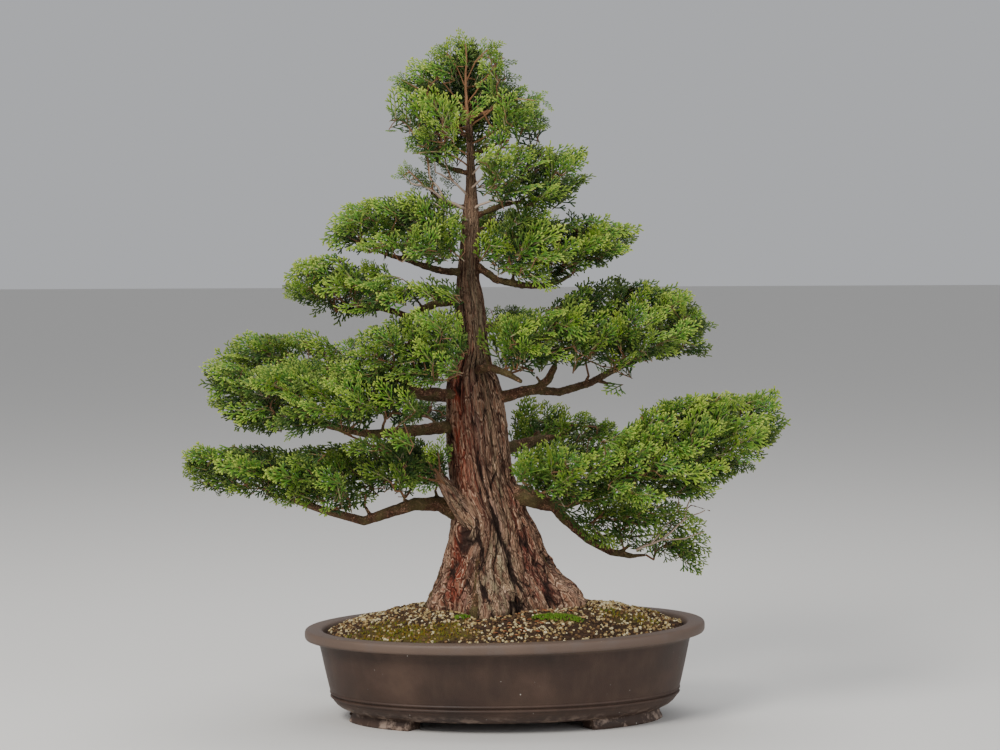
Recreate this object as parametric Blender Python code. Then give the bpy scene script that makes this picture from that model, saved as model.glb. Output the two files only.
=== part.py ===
"""Potted conifer bonsai: an oval clay pot, its soil, and one grown tree.

Metres, +Z up, feet at Z = 0. The long side of the pot lies along X and the front faces -Y.
Everything is built in millimetres round the middle of the pot, and a last small shift puts the
middle of the whole at X = Y = 0.
"""
import math
import random

import bmesh
import bpy
import numpy as np
from mathutils import Matrix, Vector
from mathutils.bvhtree import BVHTree

MM = 0.001
GAP = 0.3                     # air between neighbouring pieces

# The front view that the tree was measured in, in mm and degrees. Its eye stands in front of
# the pot, looks a little down, and sees the pot's left end as the nearer one.
EYE_AWAY = 2480.0
EYE_HEIGHT = 491.0
EYE_SIDE = -4.0
LOOK_DOWN = 3.42
LOOK_TURN = 2.74
LOOK_ROLL = 0.26
SCREEN_AWAY = 2500.0          # across and up are measured on a plane this far from the eye

# Pot: every level is (length from the middle along X, height). The half width is less by SLIM.
SLIM = 70.0
POT_TURNS = (0, 11, 20, 29, 38, 47, 57, 68, 79)   # degrees round a quarter of the oval
POT_LENGTH = 200.0
POT_HEIGHT = 94.0
POT_LEAN = 2.9                # how much higher the rim's right end stands, and its left end lower
UNDERSIDE = ((137.0, 10.0), (156.0, 10.0))
OUTSIDE = (
    (158.5, 10.8), (166.0, 14.5), (172.0, 21.0), (173.6, 24.6), (175.0, 26.4), (174.3, 27.6),
    (175.6, 29.8), (187.0, 83.5),
)
RIM = ((197.5, 83.5), (200.0, 85.6), (200.0, 91.8), (198.0, 94.0), (184.0, 94.0), (182.0, 92.5))
INSIDE = ((179.0, 80.0), (172.0, 50.0), (163.0, 26.0), (155.0, 19.0))
FOOT_ARC = (11.0, 56.0)       # degrees round the oval, mirrored for the four feet
DRAIN_X = 78.0
DRAIN_RADIUS = 12.0

SOIL_EDGE = ((154.7, 19.3), (162.7, 26.2), (171.7, 50.2), (178.2, 79.0))
SOIL_REACH = 179.8            # length of the soil's top at the pot's wall
SOIL_LOW = 90.0
SOIL_RISE = 27.0
SOIL_RINGS = (1.0, 0.86, 0.68, 0.5)
HOLE_TOP = 148.0
ROOT_FLOOR = 100.0            # underside of the trunk's base, down in the soil

# Trunk in the front view: (up, left edge, right edge).
TRUNK_SEEN = (
    (-227.0, -75.0, 85.0), (-219.0, -70.5, 78.0), (-213.0, -68.0, 74.0), (-196.0, -61.0, 55.0),
    (-171.0, -53.0, 40.0), (-143.0, -48.0, 30.5), (-115.0, -48.0, 20.0), (-101.0, -50.0, 15.0),
    (-73.0, -52.5, 10.5), (-45.0, -54.0, 7.5), (-20.0, -55.0, 2.0), (-5.0, -54.0, -0.5),
    (7.0, -49.0, -7.0), (28.0, -41.0, -11.5), (62.0, -45.0, -13.5), (82.0, -44.5, -16.5),
    (95.0, -43.5, -20.5), (125.0, -40.5, -20.0), (160.0, -38.0, -21.0), (185.0, -34.5, -23.5),
    (210.0, -33.4, -25.0), (258.0, -34.5, -28.5),
)
LEADER_TOP_SEEN = (-32.0, 336.0, 0.0)
TRUNK_SIDES = 16
SWELL_FROM = 114.0            # the root flare fades over SWELL_TALL above this height
SWELL_TALL = 70.0
# Roots and hollows round the base: (degrees from +X, reach, spread in degrees).
ROOTS = (
    (180.0, 0.0, 20.0), (222.0, -0.16, 20.0), (254.0, 0.20, 16.0), (284.0, -0.06, 14.0),
    (310.0, -0.26, 16.0), (338.0, 0.10, 16.0), (36.0, -0.10, 16.0), (66.0, 0.14, 16.0),
    (100.0, -0.12, 16.0), (136.0, 0.12, 18.0),
)
DEPTH_RATIO = ((114.0, 0.70), (144.0, 0.76), (197.0, 0.84), (300.0, 0.90), (700.0, 1.0))

# Leafy branches.
STEP = 18.0                   # one piece of twig
TWIG = (1.8, 1.5)             # half width and half height of a twig
FORK = (2.6, 1.9)             # half width of the bare fork under a twig, at its two ends
RIB_STEP = 13.0
LEAF_LENGTHS = (22.0, 17.0, 12.0)
LEAF_RADIUS = 1.3
LEAVES_NEEDED = {1: 3, 2: 5, 3: 6}
RIB_RADIUS = 1.7
SEED = 11

# The tree in the front view: a point is (across, up, depth behind the pot's middle) and, on a
# limb, its radius. Pads are ovals that leaves stay inside: (middle, half sizes in X, Y, Z). A
# limb has its own points and then its shoots: (fork, where the leaves end, pad).

PADS_SEEN = {
    "crown": (
        ((-32, 305, 0), (56, 50, 46)),
        ((-30, 259, 0), (92, 82, 50)),
    ),
    "low_left": (
        ((-72, 197, 5), (36, 32, 24)),
    ),
    "low_right": (
        ((45, 195, -5), (47, 54, 38)),
        ((5, 199, -52), (38, 44, 38)),
    ),
    "left_one": (
        ((-104, 141, -20), (70, 70, 44)),
    ),
    "right_one": (
        ((56, 127, -10), (84, 74, 42)),
    ),
    "left_two": (
        ((-148, 87, -22), (80, 74, 38)),
    ),
    "front": (
        ((-95, 29, -70), (70, 54, 40)),
    ),
    "mossy": (
        ((-12, 25, -48), (34, 32, 26)),
    ),
    "right_two": (
        ((122, 45, -5), (96, 84, 56)),
        ((30, 39, -40), (52, 52, 42)),
    ),
    "right_dry": (
        ((122, -13, -20), (24, 24, 16)),
    ),
    "left_three": (
        ((-215, 23, 48), (60, 64, 28)),
        ((-188, -27, -60), (118, 74, 42)),
    ),
    "left_four": (
        ((-225, -99, -30), (102, 84, 40)),
        ((-95, -85, -20), (44, 57, 36)),
    ),
    "right_three": (
        ((206, -63, -40), (84, 87, 52)),
        ((122, -100, -80), (118, 72, 46)),
    ),
    "right_low": (
        ((125, -147, -15), (54, 54, 32)),
        ((175, -181, 0), (38, 36, 24)),
    ),
    "back_right": (
        ((67, -51, 110), (64, 77, 28)),
    ),
    "back_left": (
        ((-70, -40, 105), (52, 72, 30)),
    ),
    "back_mid": (
        ((5, 57, 80), (44, 57, 24)),
    ),
    "back_high": (
        ((-15, 157, 70), (42, 54, 30)),
    ),
}
LIMBS_SEEN = {
    "left_four": (
        (
            (-26, -145, 0, 12),
            (-44, -137, -8, 10),
            (-60, -129, -12, 8.5),
            (-85, -129, -18, 7),
            (-110, -137, -24, 6),
            (-136, -146, -30, 5.2),
            (-177, -135, -34, 4.2),
            (-208, -125, -34, 3),
        ),
        (
            ((-208, -125, -34), (-304, -103, -34), "left_four"),
            ((-182, -133, -34), (-258, -87, -92), "left_four"),
            ((-177, -135, -34), (-242, -75, 22), "left_four"),
            ((-155, -141, -32), (-202, -103, -98), "left_four"),
            ((-128, -143, -28), (-170, -73, 0), "left_four"),
            ((-88, -130, -18), (-134, -95, -74), "left_four"),
            ((-60, -129, -12), (-84, -63, 12), "left_four"),
        ),
    ),
    "left_low": (
        (
            (-32, -55, 0, 8),
            (-52, -52, -10, 7),
            (-80, -55, -26, 6.2),
            (-105, -58, -42, 5.4),
            (-132, -59, -52, 4.6),
            (-170, -51, -58, 3.8),
            (-204, -39, -58, 3),
        ),
        (
            ((-204, -39, -58), (-290, -23, -58), "left_three"),
            ((-190, -44, -58), (-242, -3, -105), "left_three"),
            ((-170, -51, -58), (-208, 1, -20), "left_three"),
            ((-142, -57, -54), (-178, -31, -122), "left_three"),
            ((-118, -58, -47), (-112, -21, -92), "left_three"),
        ),
    ),
    "left_high": (
        (
            (-28, -25, 0, 7),
            (-50, -22, 12, 6),
            (-75, -21, 26, 5.2),
            (-110, -13, 38, 4.4),
            (-148, -2, 46, 3.6),
            (-178, 6, 48, 2.8),
        ),
        (
            ((-178, 6, 48), (-266, 25, 50), "left_three"),
            ((-160, 1, 47), (-210, 37, 95), "left_three"),
            ((-135, -6, 43), (-175, 39, 20), "left_three"),
        ),
    ),
    "right_main": (
        (
            (0, -119, 0, 13),
            (26, -121, -12, 10.5),
            (45, -128, -20, 8.6),
            (60, -131, -26, 7.2),
            (90, -119, -34, 6),
            (125, -106, -40, 5.2),
            (160, -93, -42, 4.2),
            (192, -81, -42, 3),
        ),
        (
            ((192, -81, -42), (278, -55, -45), "right_three"),
            ((172, -88, -42), (242, -23, -10), "right_three"),
            ((182, -85, -42), (252, -81, -110), "right_three"),
            ((145, -99, -41), (190, -21, -60), "right_three"),
            ((125, -106, -40), (190, -105, -135), "right_three"),
            ((100, -115, -36), (140, -69, -125), "right_three"),
            ((75, -125, -30), (90, -99, -118), "right_three"),
            ((56, -130, -24), (32, -91, -88), "right_three"),
        ),
    ),
    "right_low": (
        (
            (52, -129, -23, 6.5),
            (66, -145, -22, 5.6),
            (88, -164, -18, 5),
            (111, -177, -12, 4.2),
            (132, -181, -8, 3),
        ),
        (
            ((132, -181, -8), (204, -175, 4), "right_low"),
            ((100, -171, -15), (124, -125, -62), "right_low"),
            ((118, -178, -10), (176, -141, -24), "right_low"),
        ),
    ),
    "right_two": (
        (
            (-16, -25, 0, 8),
            (3, -22, -6, 6.8),
            (24, -16, -13, 6),
            (37, -14, -17, 5.4),
            (48, -5, -20, 4.6),
            (55, 9, -23, 3.4),
        ),
        (
            ((55, 9, -23), (66, 67, -40), "right_two"),
            ((42, -10, -18), (12, 35, -66), "right_two"),
        ),
    ),
    "right_far": (
        (
            (33, -15, -16, 5),
            (60, -17, -10, 4.6),
            (90, -8, -5, 4.2),
            (110, 3, 0, 3.8),
            (134, 15, 2, 3.4),
            (152, 21, 2, 2.8),
        ),
        (
            ((152, 21, 2), (214, 49, 2), "right_two"),
            ((140, 17, 2), (184, 83, 48), "right_two"),
            ((122, 9, 1), (168, 29, -86), "right_two"),
            ((103, -1, -2), (134, 91, 10), "right_two"),
            ((85, -9, -6), (104, 35, -80), "right_two"),
            ((96, -5, -4), (140, -18, -24), "right_dry"),
        ),
    ),
    "mossy": (
        (
            (-26, 1, -6, 6),
            (-20, 6, -22, 5),
            (-8, 7, -34, 4.2),
            (6, 2, -40, 3.6),
            (22, -7, -44, 2.4),
        ),
        (
            ((-10, 7, -33), (-22, 43, -56), "mossy"),
        ),
    ),
    "front": (
        (
            (-30, -23, 0, 6.5),
            (-50, -19, -18, 5.4),
            (-66, -17, -36, 4.8),
            (-80, -17, -52, 4.2),
            (-92, -9, -62, 3.6),
            (-98, 1, -68, 2.8),
        ),
        (
            ((-98, 1, -68), (-154, 25, -84), "front"),
            ((-94, -6, -64), (-92, 53, -80), "front"),
            ((-82, -16, -54), (-52, 43, -96), "front"),
        ),
    ),
    "left_two": (
        (
            (-28, 71, 0, 6),
            (-45, 74, -5, 5.2),
            (-64, 72, -10, 4.6),
            (-80, 64, -15, 4.2),
            (-91, 58, -18, 3.9),
            (-104, 63, -20, 3.5),
            (-120, 67, -22, 3.2),
            (-148, 63, -26, 2.7),
        ),
        (
            ((-148, 63, -26), (-220, 83, -30), "left_two"),
            ((-134, 65, -24), (-182, 113, 24), "left_two"),
            ((-126, 66, -23), (-164, 93, -90), "left_two"),
            ((-112, 65, -21), (-108, 105, -44), "left_two"),
        ),
    ),
    "right_one": (
        (
            (-34, 117, 0, 5),
            (-19, 106, -5, 4.6),
            (-3, 95, -10, 4.2),
            (20, 90, -14, 3.8),
            (43, 89, -16, 3.4),
            (60, 94, -18, 2.7),
        ),
        (
            ((60, 94, -18), (134, 135, -15), "right_one"),
            ((50, 91, -17), (96, 157, 36), "right_one"),
            ((35, 89, -15), (66, 117, -86), "right_one"),
            ((12, 92, -12), (24, 147, -34), "right_one"),
        ),
    ),
    "left_one": (
        (
            (-28, 98, 0, 5),
            (-43, 103, -5, 4.4),
            (-63, 105, -10, 4),
            (-76, 109, -14, 3.6),
            (-95, 116, -18, 3.1),
            (-108, 119, -20, 2.6),
        ),
        (
            ((-108, 119, -20), (-168, 139, -20), "left_one"),
            ((-98, 117, -18), (-138, 169, 24), "left_one"),
            ((-88, 114, -17), (-116, 133, -86), "left_one"),
            ((-72, 108, -12), (-72, 159, -44), "left_one"),
        ),
    ),
    "low_right": (
        (
            (-31, 156, 0, 3.8),
            (-19, 161, -3, 3.4),
            (-5, 167, -6, 3.1),
            (8, 171, -8, 2.5),
        ),
        (
            ((8, 171, -8), (88, 189, -10), "low_right"),
            ((0, 169, -7), (46, 219, -24), "low_right"),
            ((0, 169, -7), (8, 203, -72), "low_right"),
        ),
    ),
    "low_left": (
        (
            (-28, 166, 0, 3.2),
            (-43, 169, 2, 2.8),
            (-59, 173, 4, 2.3),
        ),
        (
            ((-59, 173, 4), (-102, 215, 6), "low_left"),
        ),
    ),
    "crown_left": (
        (
            (-30, 237, 0, 3),
            (-45, 245, -2, 2.6),
            (-59, 255, -4, 2.1),
        ),
        (
            ((-59, 255, -4), (-110, 297, -6), "crown"),
            ((-59, 255, -4), (-90, 319, -34), "crown"),
        ),
    ),
    "crown_left_low": (
        (
            (-29, 201, 0, 3.2),
            (-44, 205, -4, 2.8),
            (-58, 209, -7, 2.2),
        ),
        (
            ((-58, 209, -7), (-96, 239, -18), "crown"),
            ((-58, 209, -7), (-70, 257, -58), "crown"),
        ),
    ),
    "crown_right": (
        (
            (-32, 251, 0, 2.6),
            (-20, 260, 3, 2.1),
        ),
        (
            ((-20, 260, 3), (48, 277, 8), "crown"),
            ((-20, 260, 3), (16, 307, -26), "crown"),
        ),
    ),
    "crown_right_low": (
        (
            (-30, 219, 0, 3),
            (-14, 226, -4, 2.6),
            (-2, 232, -8, 2.1),
        ),
        (
            ((-2, 232, -8), (54, 249, -16), "crown"),
            ((-2, 232, -8), (20, 237, -70), "crown"),
        ),
    ),
    "crown_front": (
        (
            (-30, 233, 2, 2.8),
            (-32, 241, -18, 2.1),
        ),
        (
            ((-32, 241, -18), (-44, 271, -76), "crown"),
        ),
    ),
    "crown_back": (
        (
            (-32, 245, -2, 2.6),
            (-26, 253, 18, 2.1),
        ),
        (
            ((-26, 253, 18), (-10, 279, 78), "crown"),
        ),
    ),
    "back_right": (
        (
            (-18, -87, 0, 9.5),
            (-4, -77, 26, 8),
            (14, -71, 52, 6.4),
            (36, -65, 76, 5),
            (52, -62, 92, 3.4),
        ),
        (
            ((52, -62, 92), (122, -45, 128), "back_right"),
            ((40, -64, 80), (34, -35, 172), "back_right"),
        ),
    ),
    "back_left": (
        (
            (-24, -70, 0, 8.5),
            (-37, -61, 28, 7),
            (-50, -55, 52, 5.6),
            (-60, -51, 72, 3.6),
        ),
        (
            ((-60, -51, 72), (-90, -27, 160), "back_left"),
        ),
    ),
    "back_mid": (
        (
            (-28, 43, -2, 5),
            (-16, 48, 22, 4.2),
            (-6, 51, 42, 2.8),
        ),
        (
            ((-6, 51, 42), (20, 67, 124), "back_mid"),
        ),
    ),
    "back_high": (
        (
            (-32, 131, -2, 4),
            (-27, 137, 18, 3.2),
            (-23, 142, 34, 2.4),
        ),
        (
            ((-23, 142, 34), (-4, 169, 112), "back_high"),
        ),
    ),
}
BARE_TWIGS_SEEN = {
    "right_bare": (
        (88, -164, -18, 2.4),
        (106, -161, 4, 2),
        (129, -162, 14, 1.6),
        (164, -159, 20, 1.4),
        (180, -141, 22, 1.2),
        (191, -130, 22, 1.1),
        (211, -136, 20, 0.9),
    ),
    "left_bare_low": (
        (-76, 65, -14, 1.8),
        (-86, 79, -22, 1.3),
        (-96, 91, -30, 1),
        (-104, 99, -34, 0.8),
    ),
    "left_bare_high": (
        (-60, 73, -9, 1.8),
        (-66, 85, -20, 1.3),
        (-76, 94, -28, 1),
        (-82, 101, -34, 0.8),
    ),
    "front_bare": (
        (-72, -17, -44, 1.8),
        (-68, -9, -56, 1.3),
        (-62, -1, -64, 0.9),
    ),
    "back_bare": (
        (-14, 59, 14, 2.2),
        (0, 71, 22, 1.5),
        (12, 79, 26, 1.1),
        (21, 85, 28, 0.9),
    ),
    "mossy_bare": (
        (8, 1, -40, 2),
        (16, 9, -48, 1.3),
        (20, 19, -52, 0.9),
    ),
}

# Pairs of shoots that leave one fork together, so that they are one leafy branch.
TWINS = {
    ("left_four", 1): 2, ("left_low", 1): 2, ("left_high", 1): 2, ("right_main", 3): 1,
    ("right_main", 4): 5, ("right_far", 1): 3, ("left_two", 1): 2, ("right_one", 1): 2,
    ("left_one", 2): 1, ("low_right", 1): 2, ("crown_left", 0): 1, ("crown_left_low", 0): 1,
    ("crown_right", 0): 1, ("crown_right_low", 0): 1,
}


# From the front view to the object

def place(across, up, depth):
    """A point of the front view as X, Y, Z round the middle of the pot."""
    roll, down, turn = (math.radians(value) for value in (LOOK_ROLL, LOOK_DOWN, LOOK_TURN))
    side = (across * math.cos(roll) + up * math.sin(roll)) / SCREEN_AWAY
    rise = (up * math.cos(roll) - across * math.sin(roll)) / SCREEN_AWAY
    ahead = math.cos(down) + rise * math.sin(down)
    climb = rise * math.cos(down) - math.sin(down)
    far = (depth + EYE_AWAY) / ahead
    right = EYE_SIDE + far * side
    x = right * math.cos(turn) + depth * math.sin(turn)
    y = depth * math.cos(turn) - right * math.sin(turn)
    return x, y, EYE_HEIGHT + far * climb


def place_limb(points, shoots):
    limb = [(*place(*point[:3]), point[3]) for point in points]
    return limb, [(place(*fork), place(*end), pad) for fork, end, pad in shoots]


def place_trunk(up, left, right):
    x, y, height = place((left + right) / 2, up, 0.0)
    half = (place(right, up, 0.0)[0] - place(left, up, 0.0)[0]) / 2
    return x, y, height, half


TRUNK = [place_trunk(*level) for level in TRUNK_SEEN]
LIMBS = {name: place_limb(*entry) for name, entry in LIMBS_SEEN.items()}
BARE_TWIGS = {name: place_limb(points, ())[0] for name, points in BARE_TWIGS_SEEN.items()}
PADS = {
    name: [(np.array(place(*middle)), np.array(half)) for middle, half in ovals]
    for name, ovals in PADS_SEEN.items()
}


# Scene and materials

def clear_scene():
    for item in list(bpy.data.objects):
        bpy.data.objects.remove(item)


def new_collection(name, hidden):
    group = bpy.data.collections.new(name)
    bpy.context.scene.collection.children.link(group)
    group.hide_render = hidden
    return group


def material(name, colour, roughness):
    made = bpy.data.materials.new(name)
    made.use_nodes = True
    surface = made.node_tree.nodes["Principled BSDF"]
    surface.inputs["Base Color"].default_value = (*colour, 1.0)
    surface.inputs["Roughness"].default_value = roughness
    return made


def add_object(name, mesh, group, look=None):
    made = bpy.data.objects.new(name, mesh)
    group.objects.link(made)
    if look:
        mesh.materials.clear()
        mesh.materials.append(look)
    return made


def to_mesh(name, shape):
    bmesh.ops.triangulate(shape, faces=[face for face in shape.faces if len(face.verts) == 4])
    if shape.calc_volume(signed=True) < 0:
        bmesh.ops.reverse_faces(shape, faces=shape.faces)
    bmesh.ops.scale(shape, vec=(MM, MM, MM), verts=shape.verts)
    mesh = bpy.data.meshes.new(name)
    shape.to_mesh(mesh)
    shape.free()
    return mesh


# Lofted solids: a cap is extruded from ring to ring

def loft(rings):
    shape = bmesh.new()
    cap = shape.faces.new([shape.verts.new(point) for point in rings[0]])
    for ring in rings[1:]:
        cap = bmesh.ops.extrude_discrete_faces(shape, faces=[cap])["faces"][0]
        for vert, point in zip(cap.verts, ring):
            vert.co = point
    bmesh.ops.holes_fill(shape, edges=shape.edges, sides=0)
    return shape


def oval_turns():
    """Turns round the whole oval, alike in its four quarters, with an edge at each foot's ends."""
    quarter = [math.radians(turn) for turn in POT_TURNS]
    half = quarter + [math.pi / 2] + [math.pi - turn for turn in reversed(quarter[1:])]
    return half + [math.pi + turn for turn in half]


def oval_ring(length, height):
    return [
        (length * math.cos(turn), (length - SLIM) * math.sin(turn), height)
        for turn in oval_turns()
    ]


def cut_away(target, cutters, name, group):
    for index, cutter in enumerate(cutters):
        item = add_object(f"{name}_{index}", cutter, group)
        item.hide_render = True
        item.display_type = "WIRE"
        change = target.modifiers.new("cut", "BOOLEAN")
        change.operation = "DIFFERENCE"
        change.solver = "EXACT"
        change.object = item
    apply_modifiers(target)
    for item in list(group.objects):
        bpy.data.objects.remove(item)


def apply_modifiers(item):
    graph = bpy.context.evaluated_depsgraph_get()
    mesh = bpy.data.meshes.new_from_object(item.evaluated_get(graph))
    item.modifiers.clear()
    item.data = mesh


def round_cutter(name, x, radius, low, high, sides):
    shape = bmesh.new()
    bmesh.ops.create_cone(
        shape, cap_ends=True, segments=sides, radius1=radius, radius2=radius,
        depth=high - low, matrix=Matrix.Translation((x, 0, (low + high) / 2)),
    )
    return to_mesh(name, shape)


# Pot and soil

def foot_faces(shape):
    chosen = []
    for face in shape.faces:
        middle = face.calc_center_median()
        if abs(middle.z - UNDERSIDE[0][1]) > 0.1 or len(face.verts) > 4:
            continue
        length = UNDERSIDE[1][0] - 9.0
        turn = math.degrees(math.atan2(abs(middle.y) / (length - SLIM), abs(middle.x) / length))
        if FOOT_ARC[0] < turn < FOOT_ARC[1]:
            chosen.append(face)
    return chosen


def lean(shape):
    """Tips the pot's walls a little, as its foot stays level."""
    for vert in shape.verts:
        vert.co.z += POT_LEAN * (vert.co.x / POT_LENGTH) * (vert.co.z / POT_HEIGHT)


def build_pot(group, cutters):
    levels = UNDERSIDE + OUTSIDE + RIM + INSIDE
    shape = loft([oval_ring(*level) for level in levels])
    soles = foot_faces(shape)
    result = bmesh.ops.extrude_face_region(shape, geom=soles)
    bmesh.ops.delete(shape, geom=soles, context="FACES")
    for item in result["geom"]:
        if isinstance(item, bmesh.types.BMVert):
            item.co.z = 0.0
            item.co.x *= 1.02
            item.co.y *= 1.035
    lean(shape)
    pot = add_object("pot", to_mesh("pot", shape), group, material("clay", (0.13, 0.10, 0.09), 0.8))
    drains = [
        round_cutter("drain", side * DRAIN_X, DRAIN_RADIUS, 4.0, 24.0, 20) for side in (-1, 1)
    ]
    cut_away(pot, drains, "drain", cutters)
    return pot


def soil_height(x, y):
    away = math.hypot(x / SOIL_REACH, y / (SOIL_REACH - SLIM))
    return SOIL_LOW + SOIL_RISE * (1 - min(away, 1.0) ** 2.6)


def build_soil(group, cutters):
    rings = [oval_ring(*level) for level in SOIL_EDGE]
    for share in SOIL_RINGS:
        ring = []
        for turn in oval_turns():
            x = share * SOIL_REACH * math.cos(turn)
            y = share * (SOIL_REACH - SLIM) * math.sin(turn)
            ring.append((x, y, soil_height(x, y)))
        rings.append(ring)
    shape = loft(rings)
    lean(shape)
    soil = add_object("soil", to_mesh("soil", shape), group, material("earth", (0.09, 0.06, 0.04), 0.95))
    hole = loft([root_ring(GAP, ROOT_FLOOR - GAP), root_ring(GAP, HOLE_TOP)])
    cut_away(soil, [to_mesh("hole", hole)], "hole", cutters)
    return soil


# Trunk

def depth_ratio(height):
    levels = [level for level, _ in DEPTH_RATIO]
    ratios = [ratio for _, ratio in DEPTH_RATIO]
    return float(np.interp(height, levels, ratios))


def trunk_ring(x, y, height, half, extra=0.0):
    swell = max(0.0, 1.0 - max(height - SWELL_FROM, 0.0) / SWELL_TALL) ** 1.5
    ratio = depth_ratio(height)
    ring = []
    for index in range(TRUNK_SIDES):
        angle = 360.0 * index / TRUNK_SIDES
        reach = 1.0
        for middle, amount, spread in ROOTS:
            off = (angle - middle + 180.0) % 360.0 - 180.0
            reach += amount * (0.10 + 0.90 * swell) * math.exp(-((off / spread) ** 2))
        turn = math.radians(angle)
        ring.append((
            x + (half * reach + extra) * math.cos(turn),
            y + (half * reach * ratio + extra) * math.sin(turn),
            height,
        ))
    return ring


def root_ring(extra, height):
    x, y, low, half = TRUNK[0]
    return [(px, py, height) for px, py, _ in trunk_ring(x, y, low, half, extra)]


def build_trunk():
    rings = [root_ring(0.0, ROOT_FLOOR)]
    rings += [trunk_ring(*level) for level in TRUNK]
    return to_mesh("wood", loft(rings))


# Tubes for limbs and forks

def tube_mesh(name, points, sides):
    curve = bpy.data.curves.new(name, "CURVE")
    curve.dimensions = "3D"
    curve.twist_mode = "Z_UP"
    curve.bevel_depth = MM
    curve.bevel_resolution = (sides - 4) // 2
    curve.use_fill_caps = True
    spline = curve.splines.new("POLY")
    spline.points.add(len(points) - 1)
    for spot, (x, y, z, radius) in zip(spline.points, points):
        spot.co = (x * MM, y * MM, z * MM, 1.0)
        spot.radius = radius
    holder = bpy.data.objects.new(name, curve)
    bpy.context.scene.collection.objects.link(holder)
    graph = bpy.context.evaluated_depsgraph_get()
    mesh = bpy.data.meshes.new_from_object(holder.evaluated_get(graph))
    bpy.data.objects.remove(holder)
    shape = bmesh.new()
    shape.from_mesh(mesh)
    bmesh.ops.remove_doubles(shape, verts=shape.verts, dist=1e-6)
    bmesh.ops.recalc_face_normals(shape, faces=shape.faces)
    shape.to_mesh(mesh)
    shape.free()
    return mesh


# Distances between straight pieces

def least_gaps(first, second):
    """Distance from every straight piece in first (n, 2, 3) to every one in second."""
    start = first[:, None, 0] - second[None, :, 0]
    along = (first[:, 1] - first[:, 0])[:, None]
    other = (second[:, 1] - second[:, 0])[None]
    aa = np.maximum((along * along).sum(-1), 1e-9)
    bb = np.maximum((other * other).sum(-1), 1e-9)
    ab = (along * other).sum(-1)
    ar = (along * start).sum(-1)
    br = (other * start).sum(-1)
    room = aa * bb - ab * ab
    share = np.where(room > 1e-9, (ab * br - ar * bb) / np.maximum(room, 1e-9), 0.0)
    share = np.clip(share, 0.0, 1.0)
    mate = np.clip((ab * share + br) / bb, 0.0, 1.0)
    share = np.clip((ab * mate - ar) / aa, 0.0, 1.0)
    apart = start + share[..., None] * along - mate[..., None] * other
    return np.sqrt((apart * apart).sum(-1))


class Crowd:
    """Straight pieces with a thickness that new pieces must keep clear of."""

    def __init__(self):
        self.lines = np.zeros((0, 2, 3))
        self.thick = np.zeros(0)
        self.owner = np.zeros(0, int)

    def add(self, lines, thick, owner):
        self.lines = np.concatenate([self.lines, np.asarray(lines, float).reshape(-1, 2, 3)])
        self.thick = np.concatenate([self.thick, np.asarray(thick, float)])
        self.owner = np.concatenate([self.owner, np.full(len(thick), owner)])

    def room(self, lines, thick, owner, own):
        """Least clear air round each line; own=True looks at the owner's pieces only."""
        lines = np.asarray(lines, float).reshape(-1, 2, 3)
        low = lines.min(axis=(0, 1)) - 12.0
        high = lines.max(axis=(0, 1)) + 12.0
        near = (self.lines.min(axis=1) < high).all(1) & (self.lines.max(axis=1) > low).all(1)
        near &= (self.owner == owner) if own else (self.owner != owner)
        if not near.any():
            return np.full(len(lines), 12.0)
        gaps = least_gaps(lines, self.lines[near])
        return (gaps - self.thick[near][None] - np.asarray(thick)[:, None]).min(1)


# Leafy branches: planning

def unit(vector):
    vector = np.asarray(vector, float)
    return vector / max(np.linalg.norm(vector), 1e-9)


def twig_axes(direction):
    ahead = unit(direction)
    up = np.array((0.0, 0.0, 1.0)) if abs(ahead[2]) < 0.9 else np.array((0.0, -1.0, 0.0))
    left = unit(np.cross(up, ahead))
    return ahead, left, np.cross(ahead, left)


def inside_pad(point, pad):
    for middle, half in PADS[pad]:
        away = np.abs((np.asarray(point) - middle) / half)
        if (away ** 2.3).sum() < 1.0:
            return True
    return False


def plan_rib(base, old, direction, side_hint, steps, pad, lift):
    """Centres and axes of one rib: a list of (centre, along, across, up, half width, half height)."""
    ahead = unit(direction)
    frames = []
    centre = np.array(base)
    for index in range(steps):
        ahead = unit(ahead + np.array((0.0, 0.0, lift)))
        centre = centre + ahead * RIB_STEP
        across = unit(side_hint - ahead * np.dot(side_hint, ahead))
        up = np.cross(ahead, across)
        if np.dot(up, old) < 0:
            up = -up
        frames.append((centre, ahead, across, up, 1.6 - 0.25 * index, 1.25 - 0.15 * index))
    return frames


def rib_leaves(base, base_half, frames, chance):
    """Every leaf a rib could carry: (piece, side, foot, width, direction, across)."""
    leaves = []
    before, before_half = np.array(base), base_half
    for index, (centre, ahead, across, up, half, tall) in enumerate(frames):
        for side in (1, -1):
            foot = (before + centre) / 2 + across * side * (before_half + half) / 2
            sweep = math.radians(chance.uniform(30, 50) if side > 0 else chance.uniform(36, 52))
            if index == 0 and side < 0:
                sweep = math.radians(chance.uniform(20, 36))
            way = across * side * math.cos(sweep) + ahead * math.sin(sweep)
            way = unit(way + up * chance.uniform(-0.14, 0.22))
            leaves.append((index, side, foot, ahead * RIB_STEP / 2, way))
        before, before_half = centre, half
    centre, ahead, across, up, half, tall = frames[-1]
    way = unit(ahead + up * chance.uniform(-0.1, 0.2) + across * chance.uniform(-0.25, 0.25))
    leaves.append((len(frames), 0, centre, across * half, way))
    return leaves


def leaf_lines(foot, edge, tip, cut):
    """A leaf as three straight pieces, with the first share cut of each left off."""
    lines = []
    for start in (foot, foot + edge, foot - edge):
        lines.append((start + (tip - start) * cut, tip))
    return lines


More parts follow.
